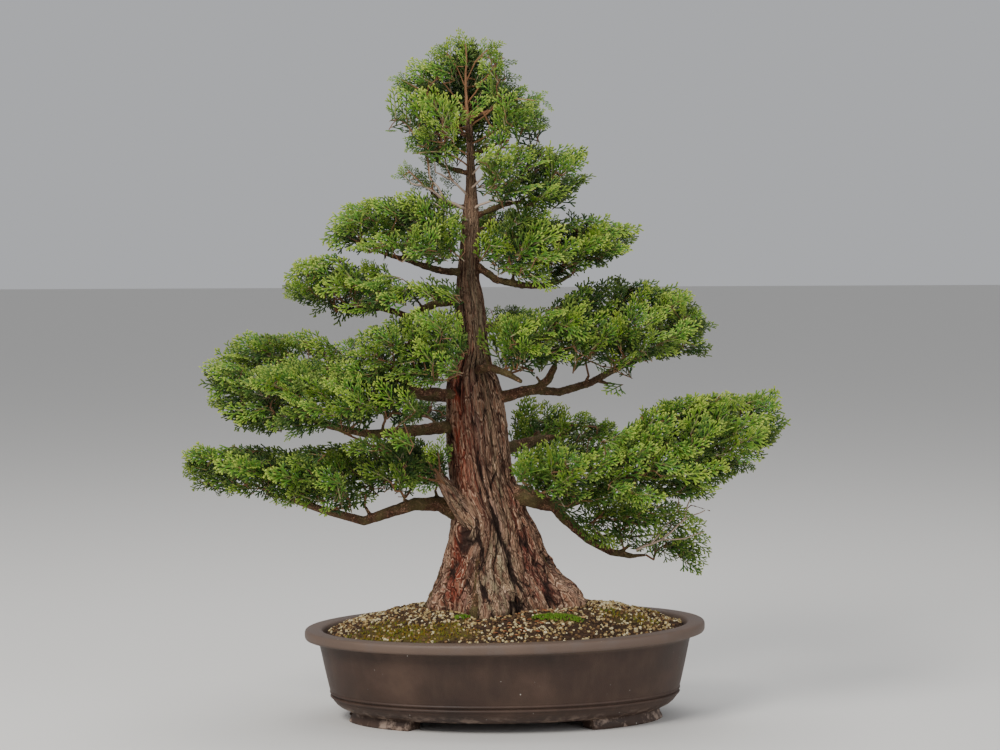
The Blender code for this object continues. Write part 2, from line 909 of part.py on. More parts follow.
def try_rib(plan, slot, base, base_half, old, direction, hint, steps, crowd, pad, owner, chance):
    lift = chance.uniform(0.02, 0.14)
    frames = plan_rib(base, old, direction, hint, steps, pad, lift)
    if not inside_pad(frames[-1][0], pad):
        return None
    points = [np.array(base)] + [frame[0] for frame in frames]
    spine = [(points[i], points[i + 1]) for i in range(steps)]
    clipped = [((spine[0][0] + spine[0][1]) / 2, spine[0][1])] + spine[1:]
    if base_half > 3.0:
        for side in (1, -1):
            start = points[0] + unit(hint) * side * base_half
            end = points[1] + frames[0][2] * side * frames[0][4]
            spine.append((start * 0.9 + end * 0.1, end))
            clipped.append((start * 0.4 + end * 0.6, end))
    spine, clipped = np.array(spine), np.array(clipped)
    thick = np.full(len(spine), RIB_RADIUS)
    if crowd.room(clipped, thick, owner, False).min() < GAP + 0.1:
        return None
    if plan["crowd"].room(clipped, thick, owner, True).min() < 0.8:
        return None
    leaves = []
    for index, side, foot, edge, way in rib_leaves(base, base_half, frames, chance):
        for length in LEAF_LENGTHS:
            tip = foot + way * length
            if inside_pad(tip, pad):
                full = leaf_lines(foot, edge, tip, 0.15 if index == 0 else 0.0)
                part = leaf_lines(foot, edge, tip, 0.45 if index == 0 else 0.1)
                leaves.append((index, side, tip, full, part, length))
    if len(leaves) < 2:
        return None
    radius = np.full(3 * len(leaves), LEAF_RADIUS)
    others = crowd.room([leaf[3] for leaf in leaves], radius, owner, False)
    own = plan["crowd"].room([leaf[4] for leaf in leaves], radius, owner, True)
    clear = (others.reshape(-1, 3).min(1) > GAP + 0.2) & (own.reshape(-1, 3).min(1) > 0.5)
    kept = {}
    for leaf, free in zip(leaves, clear):
        if free and (leaf[0], leaf[1]) not in kept:
            kept[(leaf[0], leaf[1])] = leaf
    total = sum(leaf[5] for leaf in kept.values())
    kept = [leaf[:5] for leaf in kept.values()]
    if len(kept) < LEAVES_NEEDED[steps]:
        return None
    score = total + 4.0 * steps
    return {"slot": slot, "frames": frames, "spine": spine, "clipped": clipped,
            "leaves": kept, "score": score}


def rib_choices(side, ahead, left, up, chance, upright):
    """Directions a rib may leave a twig in, by the side of the twig that it grows from."""
    choices = []
    for sweep in (32, 48, 62):
        forward = math.radians(sweep + chance.uniform(-5, 5))
        if side in ("left", "right") or upright:
            outward = {"left": left, "right": -left, "top": up, "under": -up}[side]
            cross = up if side in ("left", "right") else left
            for tilt in ((-32, -8, 14, 38) if not upright else (-25, 0, 25)):
                rise = math.radians(tilt + chance.uniform(-5, 5))
                flat = outward * math.cos(rise) + cross * math.sin(rise)
                choices.append((flat * math.cos(forward) + ahead * math.sin(forward), cross))
        else:
            for tilt in (-50, -28, 0, 28, 50):
                lean = math.radians(tilt + chance.uniform(-6, 6))
                flat = up * math.cos(lean) + left * math.sin(lean)
                choices.append((flat * math.cos(forward) + ahead * math.sin(forward), left))
    return choices


def plan_twig(start, target, pieces, crowd, pad, owner, chance, shared, bend):
    """Centres of a twig from its start toward its target, a little arched."""
    start, target = np.array(start, float), np.array(target, float)
    ahead = unit(target - start)
    centres = [start]
    for index in range(pieces):
        way = unit(ahead + np.array((0.0, 0.0, bend * (0.5 - (index + 0.5) / pieces))))
        centres.append(centres[-1] + way * STEP)
    plan = {"centres": centres, "ribs": {}, "crowd": shared, "pad": pad, "side": None}
    spine = np.array([(centres[i], centres[i + 1]) for i in range(pieces)])
    shared.add(spine, np.full(pieces, TWIG[0] - 0.3), owner)
    crowd.add(spine, np.full(pieces, TWIG[0] + 0.2), owner)
    return plan


def settle(plan, rib, crowd, owner):
    rib["name"] = len(crowd.lines)
    plan["ribs"][rib["slot"]] = rib
    crowd.add(rib["spine"], np.full(len(rib["spine"]), RIB_RADIUS), owner)
    plan["crowd"].add(rib["clipped"], np.full(len(rib["clipped"]), RIB_RADIUS), owner)
    for index, side, tip, full, part in rib["leaves"]:
        crowd.add(full, np.full(3, LEAF_RADIUS), owner)
        plan["crowd"].add(part, np.full(3, LEAF_RADIUS), owner)


def fill_slot(plan, index, side, crowd, owner, chance):
    centres = plan["centres"]
    pad = plan["pad"]
    best = None
    if index == len(centres) - 1:
        ahead, left, up = twig_axes(centres[-1] - centres[-2])
        for turn in (-0.3, 0.0, 0.3):
            for rise in (-0.15, 0.1, 0.35):
                for steps in (3, 2, 1):
                    way = ahead + left * turn + up * rise
                    rib = try_rib(plan, (index, side), centres[-1], TWIG[0] - 0.4, up, way, left,
                                  steps, crowd, pad, owner, chance)
                    if rib and (best is None or rib["score"] > best["score"]):
                        best = rib
    else:
        ahead, left, up = twig_axes(centres[index + 1] - centres[index])
        middle = (centres[index] + centres[index + 1]) / 2
        upright = abs(ahead[2]) > 0.8
        outward = {"left": left, "right": -left, "top": up, "under": -up}[side]
        reach = TWIG[0] if side in ("left", "right") else TWIG[1]
        for way, old in rib_choices(side, ahead, left, up, chance, upright):
            for steps in (3, 2, 1):
                rib = try_rib(plan, (index, side), middle + outward * reach, STEP / 2, old, way,
                              ahead, steps, crowd, pad, owner, chance)
                if rib and (best is None or rib["score"] > best["score"]):
                    best = rib
    if best:
        settle(plan, best, crowd, owner)


# Leafy branches: building

def push_face(shape, face, old, axes, centre, halves):
    """Extrudes a four-sided face to a new centre; returns the new face and the faces round it."""
    middle = np.array(face.calc_center_median())
    first = old[0] if np.dot(old[0], axes[0]) > 0 else -old[0]
    second = old[1] if np.dot(old[1], axes[1]) > 0 else -old[1]
    signs = []
    for vert in face.verts:
        off = np.array(vert.co) - middle
        signs.append((int(np.sign(np.dot(off, first))), int(np.sign(np.dot(off, second)))))
    new = bmesh.ops.extrude_discrete_faces(shape, faces=[face])["faces"][0]
    corner = {}
    for vert, (one, two) in zip(new.verts, signs):
        vert.co = centre + axes[0] * one * halves[0] + axes[1] * two * halves[1]
        corner[vert] = (one, two)
    around = {}
    for edge in new.edges:
        side = next(item for item in edge.link_faces if item is not new)
        (one, two), (three, four) = (corner[vert] for vert in edge.verts)
        around[("first", one) if one == three else ("second", two)] = side
    return new, around


def touches(shape, vert, walls):
    """Whether the faces round a leaf's tip cross a wall or a face they share no corner with."""
    shape.faces.index_update()
    shape.faces.ensure_lookup_table()
    fan = list(vert.link_faces)
    corners = {corner for face in fan for corner in face.verts}
    points = [tuple(corner.co) for face in fan for corner in face.verts]
    small = BVHTree.FromPolygons(points, [tuple(range(3 * i, 3 * i + 3)) for i in range(len(fan))])
    for _, index in small.overlap(BVHTree.FromBMesh(shape)):
        if not corners.intersection(shape.faces[index].verts):
            return True
    return any(small.overlap(wall) for wall in walls)


def rib_fits(shape, face, rib, walls):
    """Whether a rib's own pieces cross nothing but what meets the face it grows from."""
    rings = [[tuple(vert.co) for vert in face.verts]]
    middle = np.array(face.calc_center_median())
    signs = []
    for vert in face.verts:
        off = np.array(vert.co) - middle
        _, _, across, up, _, _ = rib["frames"][0]
        signs.append((np.sign(np.dot(off, across)), np.sign(np.dot(off, up))))
    for centre, _, across, up, half, tall in rib["frames"]:
        rings.append([tuple(centre + across * one * half + up * two * tall) for one, two in signs])
    points = [point for ring in rings for point in ring]
    quads = []
    for level in range(len(rings) - 1):
        for index in range(4):
            after = (index + 1) % 4
            low, high = 4 * level, 4 * level + 4
            quads.append((low + index, low + after, high + after, high + index))
    shape.faces.index_update()
    shape.faces.ensure_lookup_table()
    roots = set(face.verts)
    small = BVHTree.FromPolygons(points, quads)
    for _, index in small.overlap(BVHTree.FromBMesh(shape)):
        if not roots.intersection(shape.faces[index].verts):
            return False
    return not any(small.overlap(wall) for wall in walls)


def pull_leaf(shape, face, tip, walls):
    foot = face.calc_center_median()
    vert = bmesh.ops.poke(shape, faces=[face])["verts"][0]
    for share in (1.0, 0.78, 0.56):
        vert.co = foot + (Vector(tip) - foot) * share
        if not touches(shape, vert, walls):
            return [vert]
    vert.co = foot
    bmesh.ops.dissolve_verts(shape, verts=[vert])
    return []


def grow_rib(shape, face, rib, old, walls, owners):
    """Grows one rib and its leaves; owners notes which rib each of its corners belongs to."""
    if not rib_fits(shape, face, rib, walls):
        return []
    sides, tips = [], []
    for centre, ahead, across, up, half, tall in rib["frames"]:
        face, around = push_face(shape, face, old, (across, up), centre, (half, tall))
        owners.update((vert, rib["name"]) for vert in face.verts)
        sides.append(around)
        old = (across, up)
    for index, side, tip, _, _ in rib["leaves"]:
        foot = face if side == 0 else sides[index][("first", side)]
        tips += pull_leaf(shape, foot, tip, walls)
    return tips


def crossed_corners(shape, among):
    """Those corners whose faces cross a face that they share no corner with."""
    shape.faces.index_update()
    shape.faces.ensure_lookup_table()
    tree = BVHTree.FromBMesh(shape)
    found = set()
    for one, two in tree.overlap(tree):
        first, second = set(shape.faces[one].verts), set(shape.faces[two].verts)
        if not first & second:
            found |= (first | second) & among
    return found


def clear_tips(shape, tips):
    """Shortens the leaves that still cross something, and flattens those that go on doing so."""
    for _ in range(4):
        for vert in crossed_corners(shape, tips):
            corners = [edge.other_vert(vert).co for edge in vert.link_edges]
            foot = sum(corners, Vector()) / len(corners)
            vert.co = vert.co.lerp(foot, 0.3)
    bmesh.ops.dissolve_verts(shape, verts=list(crossed_corners(shape, tips)))


def grow_twig(shape, face, plan, old, count_from, walls, owners, dropped):
    centres = plan["centres"]
    faces = {}
    for index in range(len(centres) - 1):
        ahead, left, up = twig_axes(centres[index + 1] - centres[index])
        taper = 1.0 - 0.06 * (index + count_from)
        halves = (TWIG[0] * taper, TWIG[1] * taper)
        face, around = push_face(shape, face, old, (left, up), centres[index + 1], halves)
        faces[(index, "left")] = (around[("first", 1)], (ahead, up))
        faces[(index, "right")] = (around[("first", -1)], (ahead, up))
        faces[(index, "top")] = (around[("second", 1)], (ahead, left))
        faces[(index, "under")] = (around[("second", -1)], (ahead, left))
        old = (left, up)
    faces[(len(centres) - 1, "end")] = (face, (left, up))
    tips = []
    if plan["side"]:
        slot, other = plan["side"]
        tips += grow_twig(shape, faces[slot][0], other, faces[slot][1], 1, walls, owners, dropped)
    for slot, rib in plan["ribs"].items():
        if rib["name"] not in dropped:
            tips += grow_rib(shape, faces[slot][0], rib, faces[slot][1], walls, owners)
    return tips


def as_wall(item):
    item.data.calc_loop_triangles()
    points = [vert.co / MM for vert in item.data.vertices]
    return BVHTree.FromPolygons(points, [tuple(tri.vertices) for tri in item.data.loop_triangles])


def grow_leafy(plan, walls, dropped):
    shape = bmesh.new()
    ahead, left, up = twig_axes(plan["centres"][1] - plan["centres"][0])
    start = plan["centres"][0]
    corners = [(1, 1), (-1, 1), (-1, -1), (1, -1)]
    face = shape.faces.new([
        shape.verts.new(start + left * one * TWIG[0] + up * two * TWIG[1]) for one, two in corners
    ])
    owners = {}
    tips = grow_twig(shape, face, plan, (left, up), 0, walls, owners, dropped)
    bmesh.ops.holes_fill(shape, edges=shape.edges, sides=0)
    bmesh.ops.triangulate(shape, faces=[face for face in shape.faces if len(face.verts) == 4])
    clear_tips(shape, set(tips))
    return shape, owners


def leafy_mesh(name, plan, walls):
    """One leafy branch, grown again without the last rib that still crosses another."""
    dropped = set()
    while True:
        shape, owners = grow_leafy(plan, walls, dropped)
        crossed = {owners[vert] for vert in crossed_corners(shape, set(owners))}
        if not crossed:
            return to_mesh(name, shape)
        dropped.add(max(crossed))
        shape.free()


# Layout of the tree

def shoot_length(start, target):
    """Bare wood before the leaves, and how many pieces of twig follow."""
    whole = float(np.linalg.norm(np.array(target) - np.array(start)))
    pieces = int(min(4, max(2, round((whole - 56.0) / STEP))))
    return max(14.0, whole - 36.0 - STEP * pieces), pieces


def plan_shoots(crowd):
    """Forks of bare wood, and the twig plans that continue them."""
    forks, plans = [], []
    owner = 1
    for limb, (points, shoots) in LIMBS.items():
        skipped = [TWINS[key] for key in TWINS if key[0] == limb]
        for number, (start, target, pad) in enumerate(shoots):
            if number in skipped:
                continue
            start, target = np.array(start, float), np.array(target, float)
            twin = TWINS.get((limb, number))
            aim = target
            if twin is not None:
                aim = (target + np.array(shoots[twin][1], float)) / 2
            bare, pieces = shoot_length(start, target)
            ahead = unit(aim - start)
            seat = start + ahead * bare
            forks.append([(*start, FORK[0]), (*seat, FORK[1])])
            crowd.add([(start, seat)], [2.4], 0)
            plans.append((limb, number, owner, seat + ahead * GAP, aim, target, twin, pieces, pad))
            owner += 1
    return forks, plans


def make_plan(item, shoots, crowd, chance):
    limb, number, owner, root, aim, target, twin, pieces, pad = item
    shared = Crowd()
    if twin is None:
        return plan_twig(root, target, pieces, crowd, pad, owner, chance, shared, 0.35)
    stem = plan_twig(root, aim, 1, crowd, pad, owner, chance, shared, 0.0)
    ahead, left, _ = twig_axes(stem["centres"][1] - stem["centres"][0])
    fork = stem["centres"][1]
    other = np.array(shoots[twin][1], float)
    reach = int(min(4, max(2, round((np.linalg.norm(target - fork) - 36.0) / STEP))))
    main = plan_twig(fork, target, reach, crowd, pad, owner, chance, shared, 0.3)
    stem["centres"] += main["centres"][1:]
    side = "left" if np.dot(other - aim, left) > 0 else "right"
    foot = (root + fork) / 2 + left * TWIG[0] * (1 if side == "left" else -1)
    reach = int(min(4, max(2, round((np.linalg.norm(other - foot) - 36.0) / STEP))))
    branch = plan_twig(foot, other, reach, crowd, shoots[twin][2], owner, chance, shared, 0.3)
    for start in (root, fork):
        web = [(start * 0.8 + branch["centres"][1] * 0.2, branch["centres"][1])]
        crowd.add(web, [TWIG[0]], owner)
        shared.add(web, [TWIG[0]], owner)
    stem["side"] = ((0, side), branch)
    return stem


def plan_tree():
    chance = random.Random(SEED)
    crowd = Crowd()
    middles = np.array([level[:3] for level in TRUNK])
    halves = np.array([level[3] for level in TRUNK])
    crowd.add(list(zip(middles[:-1], middles[1:])), np.maximum(halves[:-1], 2.0) * 0.98, 0)
    for points, _ in LIMBS.values():
        spots = np.array([point[:3] for point in points], float)
        sizes = np.array([point[3] for point in points], float)
        crowd.add(list(zip(spots[:-1], spots[1:])), np.maximum(sizes[:-1], sizes[1:]), 0)
    for points in BARE_TWIGS.values():
        spots = np.array([point[:3] for point in points], float)
        crowd.add(list(zip(spots[:-1], spots[1:])), np.full(len(spots) - 1, 1.6), 0)
    forks, waiting = plan_shoots(crowd)
    plans = {}
    root = middles[-1] + np.array((0.0, 0.0, GAP))
    leader = plan_twig(root, place(*LEADER_TOP_SEEN), 4, crowd, "crown", 900, chance, Crowd(), 0.0)
    jobs = [(leader, 900)]
    for item in waiting:
        plan = make_plan(item, LIMBS[item[0]][1], crowd, chance)
        plans[f"leafy_{item[0]}_{item[1] + 1}"] = plan
        jobs.append((plan, item[2]))
    plans["leafy_leader"] = leader
    for plan, owner in jobs:
        fill_plan(plan, crowd, owner, chance)
    return forks, plans


def fill_plan(plan, crowd, owner, chance, first=0):
    count = len(plan["centres"]) - 1
    upright = abs(unit(plan["centres"][1] - plan["centres"][0])[2]) > 0.8
    fill_slot(plan, count, "end", crowd, owner, chance)
    for index in range(count - 1, first - 1, -1):
        taken = plan["side"][0] if plan["side"] else None
        sides = ["left" if (index + count) % 2 else "right", "top"]
        if upright:
            sides = ["left", "right", "top", "under"]
        elif index == count - 1:
            sides = ["left", "right", "top"]
        for side in sides:
            if (index, side) != taken:
                fill_slot(plan, index, side, crowd, owner, chance)
    if plan["side"]:
        fill_plan(plan["side"][1], crowd, owner, chance, 1)


def build_wood(group, tools, forks):
    wood = add_object("wood", build_trunk(), group, material("bark", (0.30, 0.21, 0.15), 0.9))
    for name, (points, _) in LIMBS.items():
        sides = 6 if points[0][3] > 5.5 else 4
        add_object(f"limb_{name}", tube_mesh(name, points, sides), tools)
    for index, points in enumerate(forks):
        add_object(f"fork_{index}", tube_mesh("fork", points, 4), tools)
    for name, points in BARE_TWIGS.items():
        add_object(f"bare_{name}", tube_mesh(name, points, 4), tools)
    for item in tools.objects:
        item.hide_render = True
        item.display_type = "WIRE"
    change = wood.modifiers.new("join", "BOOLEAN")
    change.operation = "UNION"
    change.solver = "EXACT"
    change.operand_type = "COLLECTION"
    change.collection = tools
    change.use_self = True
    apply_modifiers(wood)
    for item in list(tools.objects):
        bpy.data.objects.remove(item)
    keep_largest(wood)
    return wood


def keep_largest(item):
    """Drops scraps that a join leaves loose and closes hollows it seals in."""
    shape = bmesh.new()
    shape.from_mesh(item.data)
    bmesh.ops.remove_doubles(shape, verts=shape.verts, dist=2e-6)
    bmesh.ops.dissolve_degenerate(shape, edges=shape.edges, dist=2e-6)
    left = set(shape.faces)
    shells = []
    while left:
        stack, shell = [left.pop()], []
        while stack:
            face = stack.pop()
            shell.append(face)
            for edge in face.edges:
                for near in edge.link_faces:
                    if near in left:
                        left.remove(near)
                        stack.append(near)
        shells.append(shell)
    shells.sort(key=len, reverse=True)
    for shell in shells[1:]:
        bmesh.ops.delete(shape, geom=shell, context="FACES")
    shape.to_mesh(item.data)
    shape.free()


def centre_all(group):
    low = Vector((1e9, 1e9, 1e9))
    high = -low
    for item in group.objects:
        for vert in item.data.vertices:
            for axis in range(3):
                low[axis] = min(low[axis], vert.co[axis])
                high[axis] = max(high[axis], vert.co[axis])
    shift = Matrix.Translation((-(low.x + high.x) / 2, -(low.y + high.y) / 2, -low.z))
    for item in group.objects:
        item.data.transform(shift)


def main():
    clear_scene()
    group = new_collection("bonsai", False)
    cutters = new_collection("cutters", True)
    tools = new_collection("tools", True)
    build_pot(group, cutters)
    build_soil(group, cutters)
    forks, plans = plan_tree()
    wood = build_wood(group, tools, forks)
    walls = [as_wall(wood)]
    for name, plan in plans.items():
        green = random.Random(name).uniform(0.85, 1.15)
        look = material(name, (0.11 * green, 0.22 * green, 0.07 * green), 0.7)
        item = add_object(name, leafy_mesh(name, plan, walls), group, look)
        walls.append(as_wall(item))
    centre_all(group)


main()
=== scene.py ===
"""Finish for the potted conifer bonsai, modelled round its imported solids.

Metres, +Z up, the tree's front toward -Y. Sizes in the tables are millimetres unless they say
otherwise. Leafy twigs get their sprays where the solids have their pointed leaves, the trunk's
bark is raised on the solid's own outline, and the pot is turned again with finer curves.
"""
import math
import random

import bmesh
import bpy
import numpy as np
from mathutils import Matrix, Vector, noise
from mathutils.bvhtree import BVHTree


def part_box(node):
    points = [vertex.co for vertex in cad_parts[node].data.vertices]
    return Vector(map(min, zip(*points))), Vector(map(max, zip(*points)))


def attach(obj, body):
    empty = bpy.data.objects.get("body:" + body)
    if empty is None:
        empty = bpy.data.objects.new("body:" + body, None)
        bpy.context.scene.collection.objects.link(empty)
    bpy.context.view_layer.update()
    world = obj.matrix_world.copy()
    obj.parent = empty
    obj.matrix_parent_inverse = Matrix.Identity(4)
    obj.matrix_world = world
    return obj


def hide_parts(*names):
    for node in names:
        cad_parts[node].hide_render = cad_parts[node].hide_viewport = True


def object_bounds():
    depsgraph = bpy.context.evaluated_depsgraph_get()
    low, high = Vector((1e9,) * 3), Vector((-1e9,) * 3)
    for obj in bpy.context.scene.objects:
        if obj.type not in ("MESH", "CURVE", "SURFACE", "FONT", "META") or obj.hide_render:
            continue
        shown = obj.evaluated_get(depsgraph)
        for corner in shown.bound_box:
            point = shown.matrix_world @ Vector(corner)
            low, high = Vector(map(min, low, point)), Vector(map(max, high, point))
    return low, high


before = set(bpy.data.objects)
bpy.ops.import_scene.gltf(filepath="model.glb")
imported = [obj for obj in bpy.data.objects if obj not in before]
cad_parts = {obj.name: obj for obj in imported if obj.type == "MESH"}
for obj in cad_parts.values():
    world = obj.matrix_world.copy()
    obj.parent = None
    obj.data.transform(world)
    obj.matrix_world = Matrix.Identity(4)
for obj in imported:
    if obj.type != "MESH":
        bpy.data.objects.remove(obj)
cad_low, cad_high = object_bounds()
bpy.ops.object.select_all(action="DESELECT")
noise.seed_set(1)   # without it, noise_vector takes its seed from the clock

MM = 0.001
POT_LOW, POT_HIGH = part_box("pot")
MIDDLE = np.array(((POT_LOW[0] + POT_HIGH[0]) / 2, (POT_LOW[1] + POT_HIGH[1]) / 2, 0.0)) / MM
BOX_LOW = np.array(cad_low) / MM
BOX_HIGH = np.array(cad_high) / MM

# Pot: (length from the middle along X, height). The half width is less by SLIM.
SLIM = 70.0
POT_STEPS = 160
POT_LENGTH = 200.0
POT_HEIGHT = 94.0
POT_LEAN = 2.9
BASE = ((120.0, 10.6), (137.0, 10.0), (155.6, 10.0))
WALL = (
    (157.6, 10.3), (158.9, 11.2), (161.4, 12.4), (165.6, 14.6), (169.0, 17.4), (171.6, 20.6),
    (172.8, 22.6), (172.9, 23.4), (174.2, 23.8), (175.0, 24.6), (175.0, 25.4), (174.3, 26.2),
    (173.1, 26.7), (173.1, 27.5), (174.5, 28.0), (175.4, 28.8), (175.4, 29.6), (174.8, 30.4),
    (175.9, 34.0),
    (178.4, 45.0), (181.2, 58.0), (183.6, 70.0), (185.4, 78.0), (186.6, 82.0), (187.9, 83.4),
)
RIM = (
    (190.0, 84.0), (194.5, 83.8), (197.2, 83.8), (198.8, 84.3), (199.6, 85.4), (199.9, 87.0),
    (200.0, 89.5), (199.8, 91.5), (199.2, 93.0), (198.0, 93.8), (196.0, 94.0), (190.0, 94.0),
    (185.2, 93.8), (183.4, 93.2), (182.4, 92.0), (181.8, 90.0),
)
INSIDE = ((179.2, 80.0), (172.2, 50.0), (163.0, 26.0), (155.0, 19.4), (90.0, 19.0))
FOOT_ARC = (12.0, 52.0, 58.0)   # degrees round the oval: outer end, inner ends left and right
FOOT_STEPS = ((4.0, 1.010), (8.6, 1.024), (10.0, 1.016))   # (down from the base, spread)
DRAIN_X = 78.0
DRAIN_RADIUS = 12.0

# Soil surface
SOIL_REACH = 180.0
SOIL_RINGS = 54
SOIL_STEPS = 180
SOIL_EDGE = 0.985             # share of the reach that the level top takes
SOIL_LEAST = 86.0             # a ray that ends lower has missed the soil's top
SOIL_UNDER = 60.0             # height of the plain underside
HOLE_TOP = 113.5              # height given to the soil over the trunk's hole
RIM_GAP = 1.5                 # how far loose grit keeps from the soil's edge
GRIT_COUNT = 6200
LITTER_COUNT = 2600
PEBBLE_SPANS = ((0.85, 1.2), (0.75, 1.1), (0.6, 0.9))   # least and most stretch along X, Y, Z

# Beds of moss: (middle X, middle Y, half length, half width, how thick), and which are green.
MOSS_BEDS = (
    (-100.0, -74.0, 66.0, 14.0, 0.9), (-62.0, -88.0, 40.0, 9.0, 0.8), (50.0, -66.0, 25.0, 6.5, 1.0),
    (-46.0, -60.0, 8.0, 4.0, 0.9), (-128.0, -50.0, 36.0, 20.0, 0.6),
    (118.0, -40.0, 38.0, 22.0, 0.6),
    (60.0, 78.0, 60.0, 18.0, 0.8), (-70.0, 76.0, 52.0, 18.0, 0.9), (146.0, 20.0, 18.0, 30.0, 0.5),
)
GREEN_BEDS = (2, 3)

# Trunk: middle line (height, X, Y from the pot's middle) and how flat its section is.
MIDDLE_LINE = (
    (100.0, 0.0, 0.0), (116.0, 0.0, 0.0), (147.0, -8.0, 0.0), (200.0, -13.5, 0.5),
    (242.0, -22.0, 1.0), (298.0, -27.0, 1.3), (350.0, -31.3, 1.5), (371.0, -29.7, 1.5),
    (437.0, -35.0, 1.7), (500.0, -32.0, 1.5), (551.0, -31.7, 1.5), (599.0, -34.0, 1.6),
)
FLATNESS = ((114.0, 0.70), (144.0, 0.76), (197.0, 0.84), (300.0, 0.90), (700.0, 1.0))
TRUNK_AROUND = 296
TRUNK_LEVELS = 330
TRUNK_LOW = 101.0
TRUNK_TOP = 597.5
BOUGHS_FROM = 180.0           # below this height no bough leaves the trunk
COLLAR = 1.10                 # how far a bough's base may swell the trunk
BOUGH_VOXEL = 1.1
BOUGH_KEEP = 0.32             # share of the remeshed faces kept
ROOT_RINGS = 6                # rings of a bough's faces that reach into the trunk
BURIED = 99                   # marks what lies deeper than those rings
GRAIN_REACH = 34.0            # reach at which the bark's pattern has its own width
FLAKE_SIZE = 3.6
CRACK_SPREAD = 3.2            # half width of a split, in degrees

# Marks on the trunk: (turn in degrees, half spread, lowest, highest). The front is at 270.
RUST_MARKS = ((224, 18, 226, 372), (214, 14, 122, 190))
RED_MARKS = ((248, 22, 235, 330), (318, 18, 120, 230), (262, 14, 330, 430))
PALE_MARKS = (
    (276, 24, 108, 188), (296, 9, 190, 350), (252, 10, 101, 150), (232, 8, 180, 215),
    (284, 66, 350, 570),
)
ROOTS = (                     # the last number is the rise
    (251, 7, 101, 146, 6.0), (340, 8, 101, 128, 5.0), (196, 8, 101, 132, 4.5),
    (352, 26, 122, 196, 4.5),
)
CRACK_LINES = (               # turn and height at the foot, turn and height at the top, depth
    (296, 124, 262, 262, 3.4), (281, 232, 300, 250, 2.6), (250, 118, 244, 205, 2.2),
    (233, 300, 238, 430, 2.4),
)
HOLLOW = (285.0, 15.0, 101.0, 122.0, 9.0)     # turn, half spread, lowest, highest, depth
KNOT = (221.0, 193.0, 9.0, 6.5)               # turn, height, radius, depth

# Foliage: at each pointed leaf, sprays by (turn from the leaf in degrees, least and most length,
# share of the leaves that have it).
LEAF_LEAST = 5.5
SPRAY_SHAPES = 8
SHOOT_WIDE = 0.052
SHOOT_FOOT = 0.62              # width of a shoot's foot for a tip 1 wide
STEM_STEPS = (0.30, 0.27, 0.24, 0.19)
SPRAY_TURNS = ((0, 0.92, 1.1, 1.0), (38, 0.72, 0.95, 0.5))
TWIG_SIDES = 5
LIMB_AROUND = 60

# Pads seen from the front: outline in picture points, the point they spread from (or None where
# they rise off the stem), and how many sprays lie within FILL_NEAR points of any spot.
FILL_NEAR = 10.0
PAD_SLACK = (-4.0, 8.0)
STEM_ACROSS = 467.0
STEM_DEPTH = 1.5
STEM_SHOWS = (44.0, 206.0, 11.0, 0.93)   # picture heights, half width, share kept off it
CROWN_NODE = "leafy_leader"
# Ways that light comes from: (direction, how far a spray shades, strength of the shade)
LIGHT_WAYS = (((-0.25, -0.35, 0.9), 70.0, 0.12), ((-0.1, -1.0, 0.25), 60.0, 0.18))
SHADE_NEAR = 3.0              # sprays nearer than this don't shade each other
SHADE_HALF = 13.0             # half width of a spray's shade
OPEN_SHADE = 4                # most shade, in sprays, on one that is open on its far side
COMBED = 0.4                  # how far the sprays turn toward the way their pad spreads
PADS = (
    (((450, 54), (459, 43), (466, 38), (474, 43), (482, 54), (492, 68), (498, 84), (532, 98),
      (538, 116), (528, 134), (505, 138), (482, 148), (455, 150), (425, 158), (412, 148),
      (416, 125),
      (408, 106), (396, 88), (404, 72), (426, 62)), None, 3),
    (((482, 152), (540, 150), (575, 154), (578, 178), (566, 200), (545, 198), (520, 188),
    (490, 186),
      (482, 170)), None, 4),
    (((355, 206), (415, 198), (448, 210), (460, 228), (453, 252), (430, 258), (400, 248),
    (370, 244),
      (337, 244), (334, 228)), (466, 262), 5),
    (((480, 230), (520, 208), (555, 224), (600, 218), (629, 228), (629, 244), (603, 258),
    (568, 267),
      (545, 282), (520, 274), (505, 258), (480, 248)), (474, 270), 5),
    (((302, 265), (330, 260), (370, 268), (405, 286), (453, 289), (450, 297), (405, 296),
    (380, 306),
      (350, 312), (302, 303), (286, 290)), (462, 300), 5),
    (((375, 333), (420, 316), (460, 318), (466, 330), (452, 350), (452, 374), (430, 382),
    (395, 378),
      (350, 376), (325, 376)), (462, 385), 5),
    (((252, 338), (325, 338), (345, 356), (395, 376), (413, 395), (408, 410), (365, 415),
    (330, 421),
      (290, 428), (247, 424), (218, 403), (212, 376), (227, 353)), (430, 430), 5),
    (((192, 450), (230, 449), (290, 452), (340, 448), (400, 437), (438, 454), (444, 476),
    (430, 484), (400, 477),
      (362, 477), (345, 492), (330, 503), (300, 497), (240, 488), (202, 486), (187, 472)),
      (450, 500), 5),
    (((490, 312), (540, 317), (590, 288), (640, 283), (688, 298), (705, 320), (704, 346),
    (660, 354),
      (600, 350), (560, 358), (522, 364), (512, 350), (483, 330)), (480, 375), 5),
    (((520, 408), (560, 411), (585, 427), (625, 434), (660, 403), (720, 398), (768, 397),
    (776, 430),
      (757, 447), (732, 472), (700, 491), (660, 496), (620, 497), (590, 506), (545, 487),
      (523, 468),
      (515, 440)), (510, 490), 5),
    (((560, 503), (590, 492), (650, 506), (686, 503), (702, 540), (696, 570), (672, 556),
    (640, 541),
      (610, 545), (578, 530)), (545, 495), 2),
)

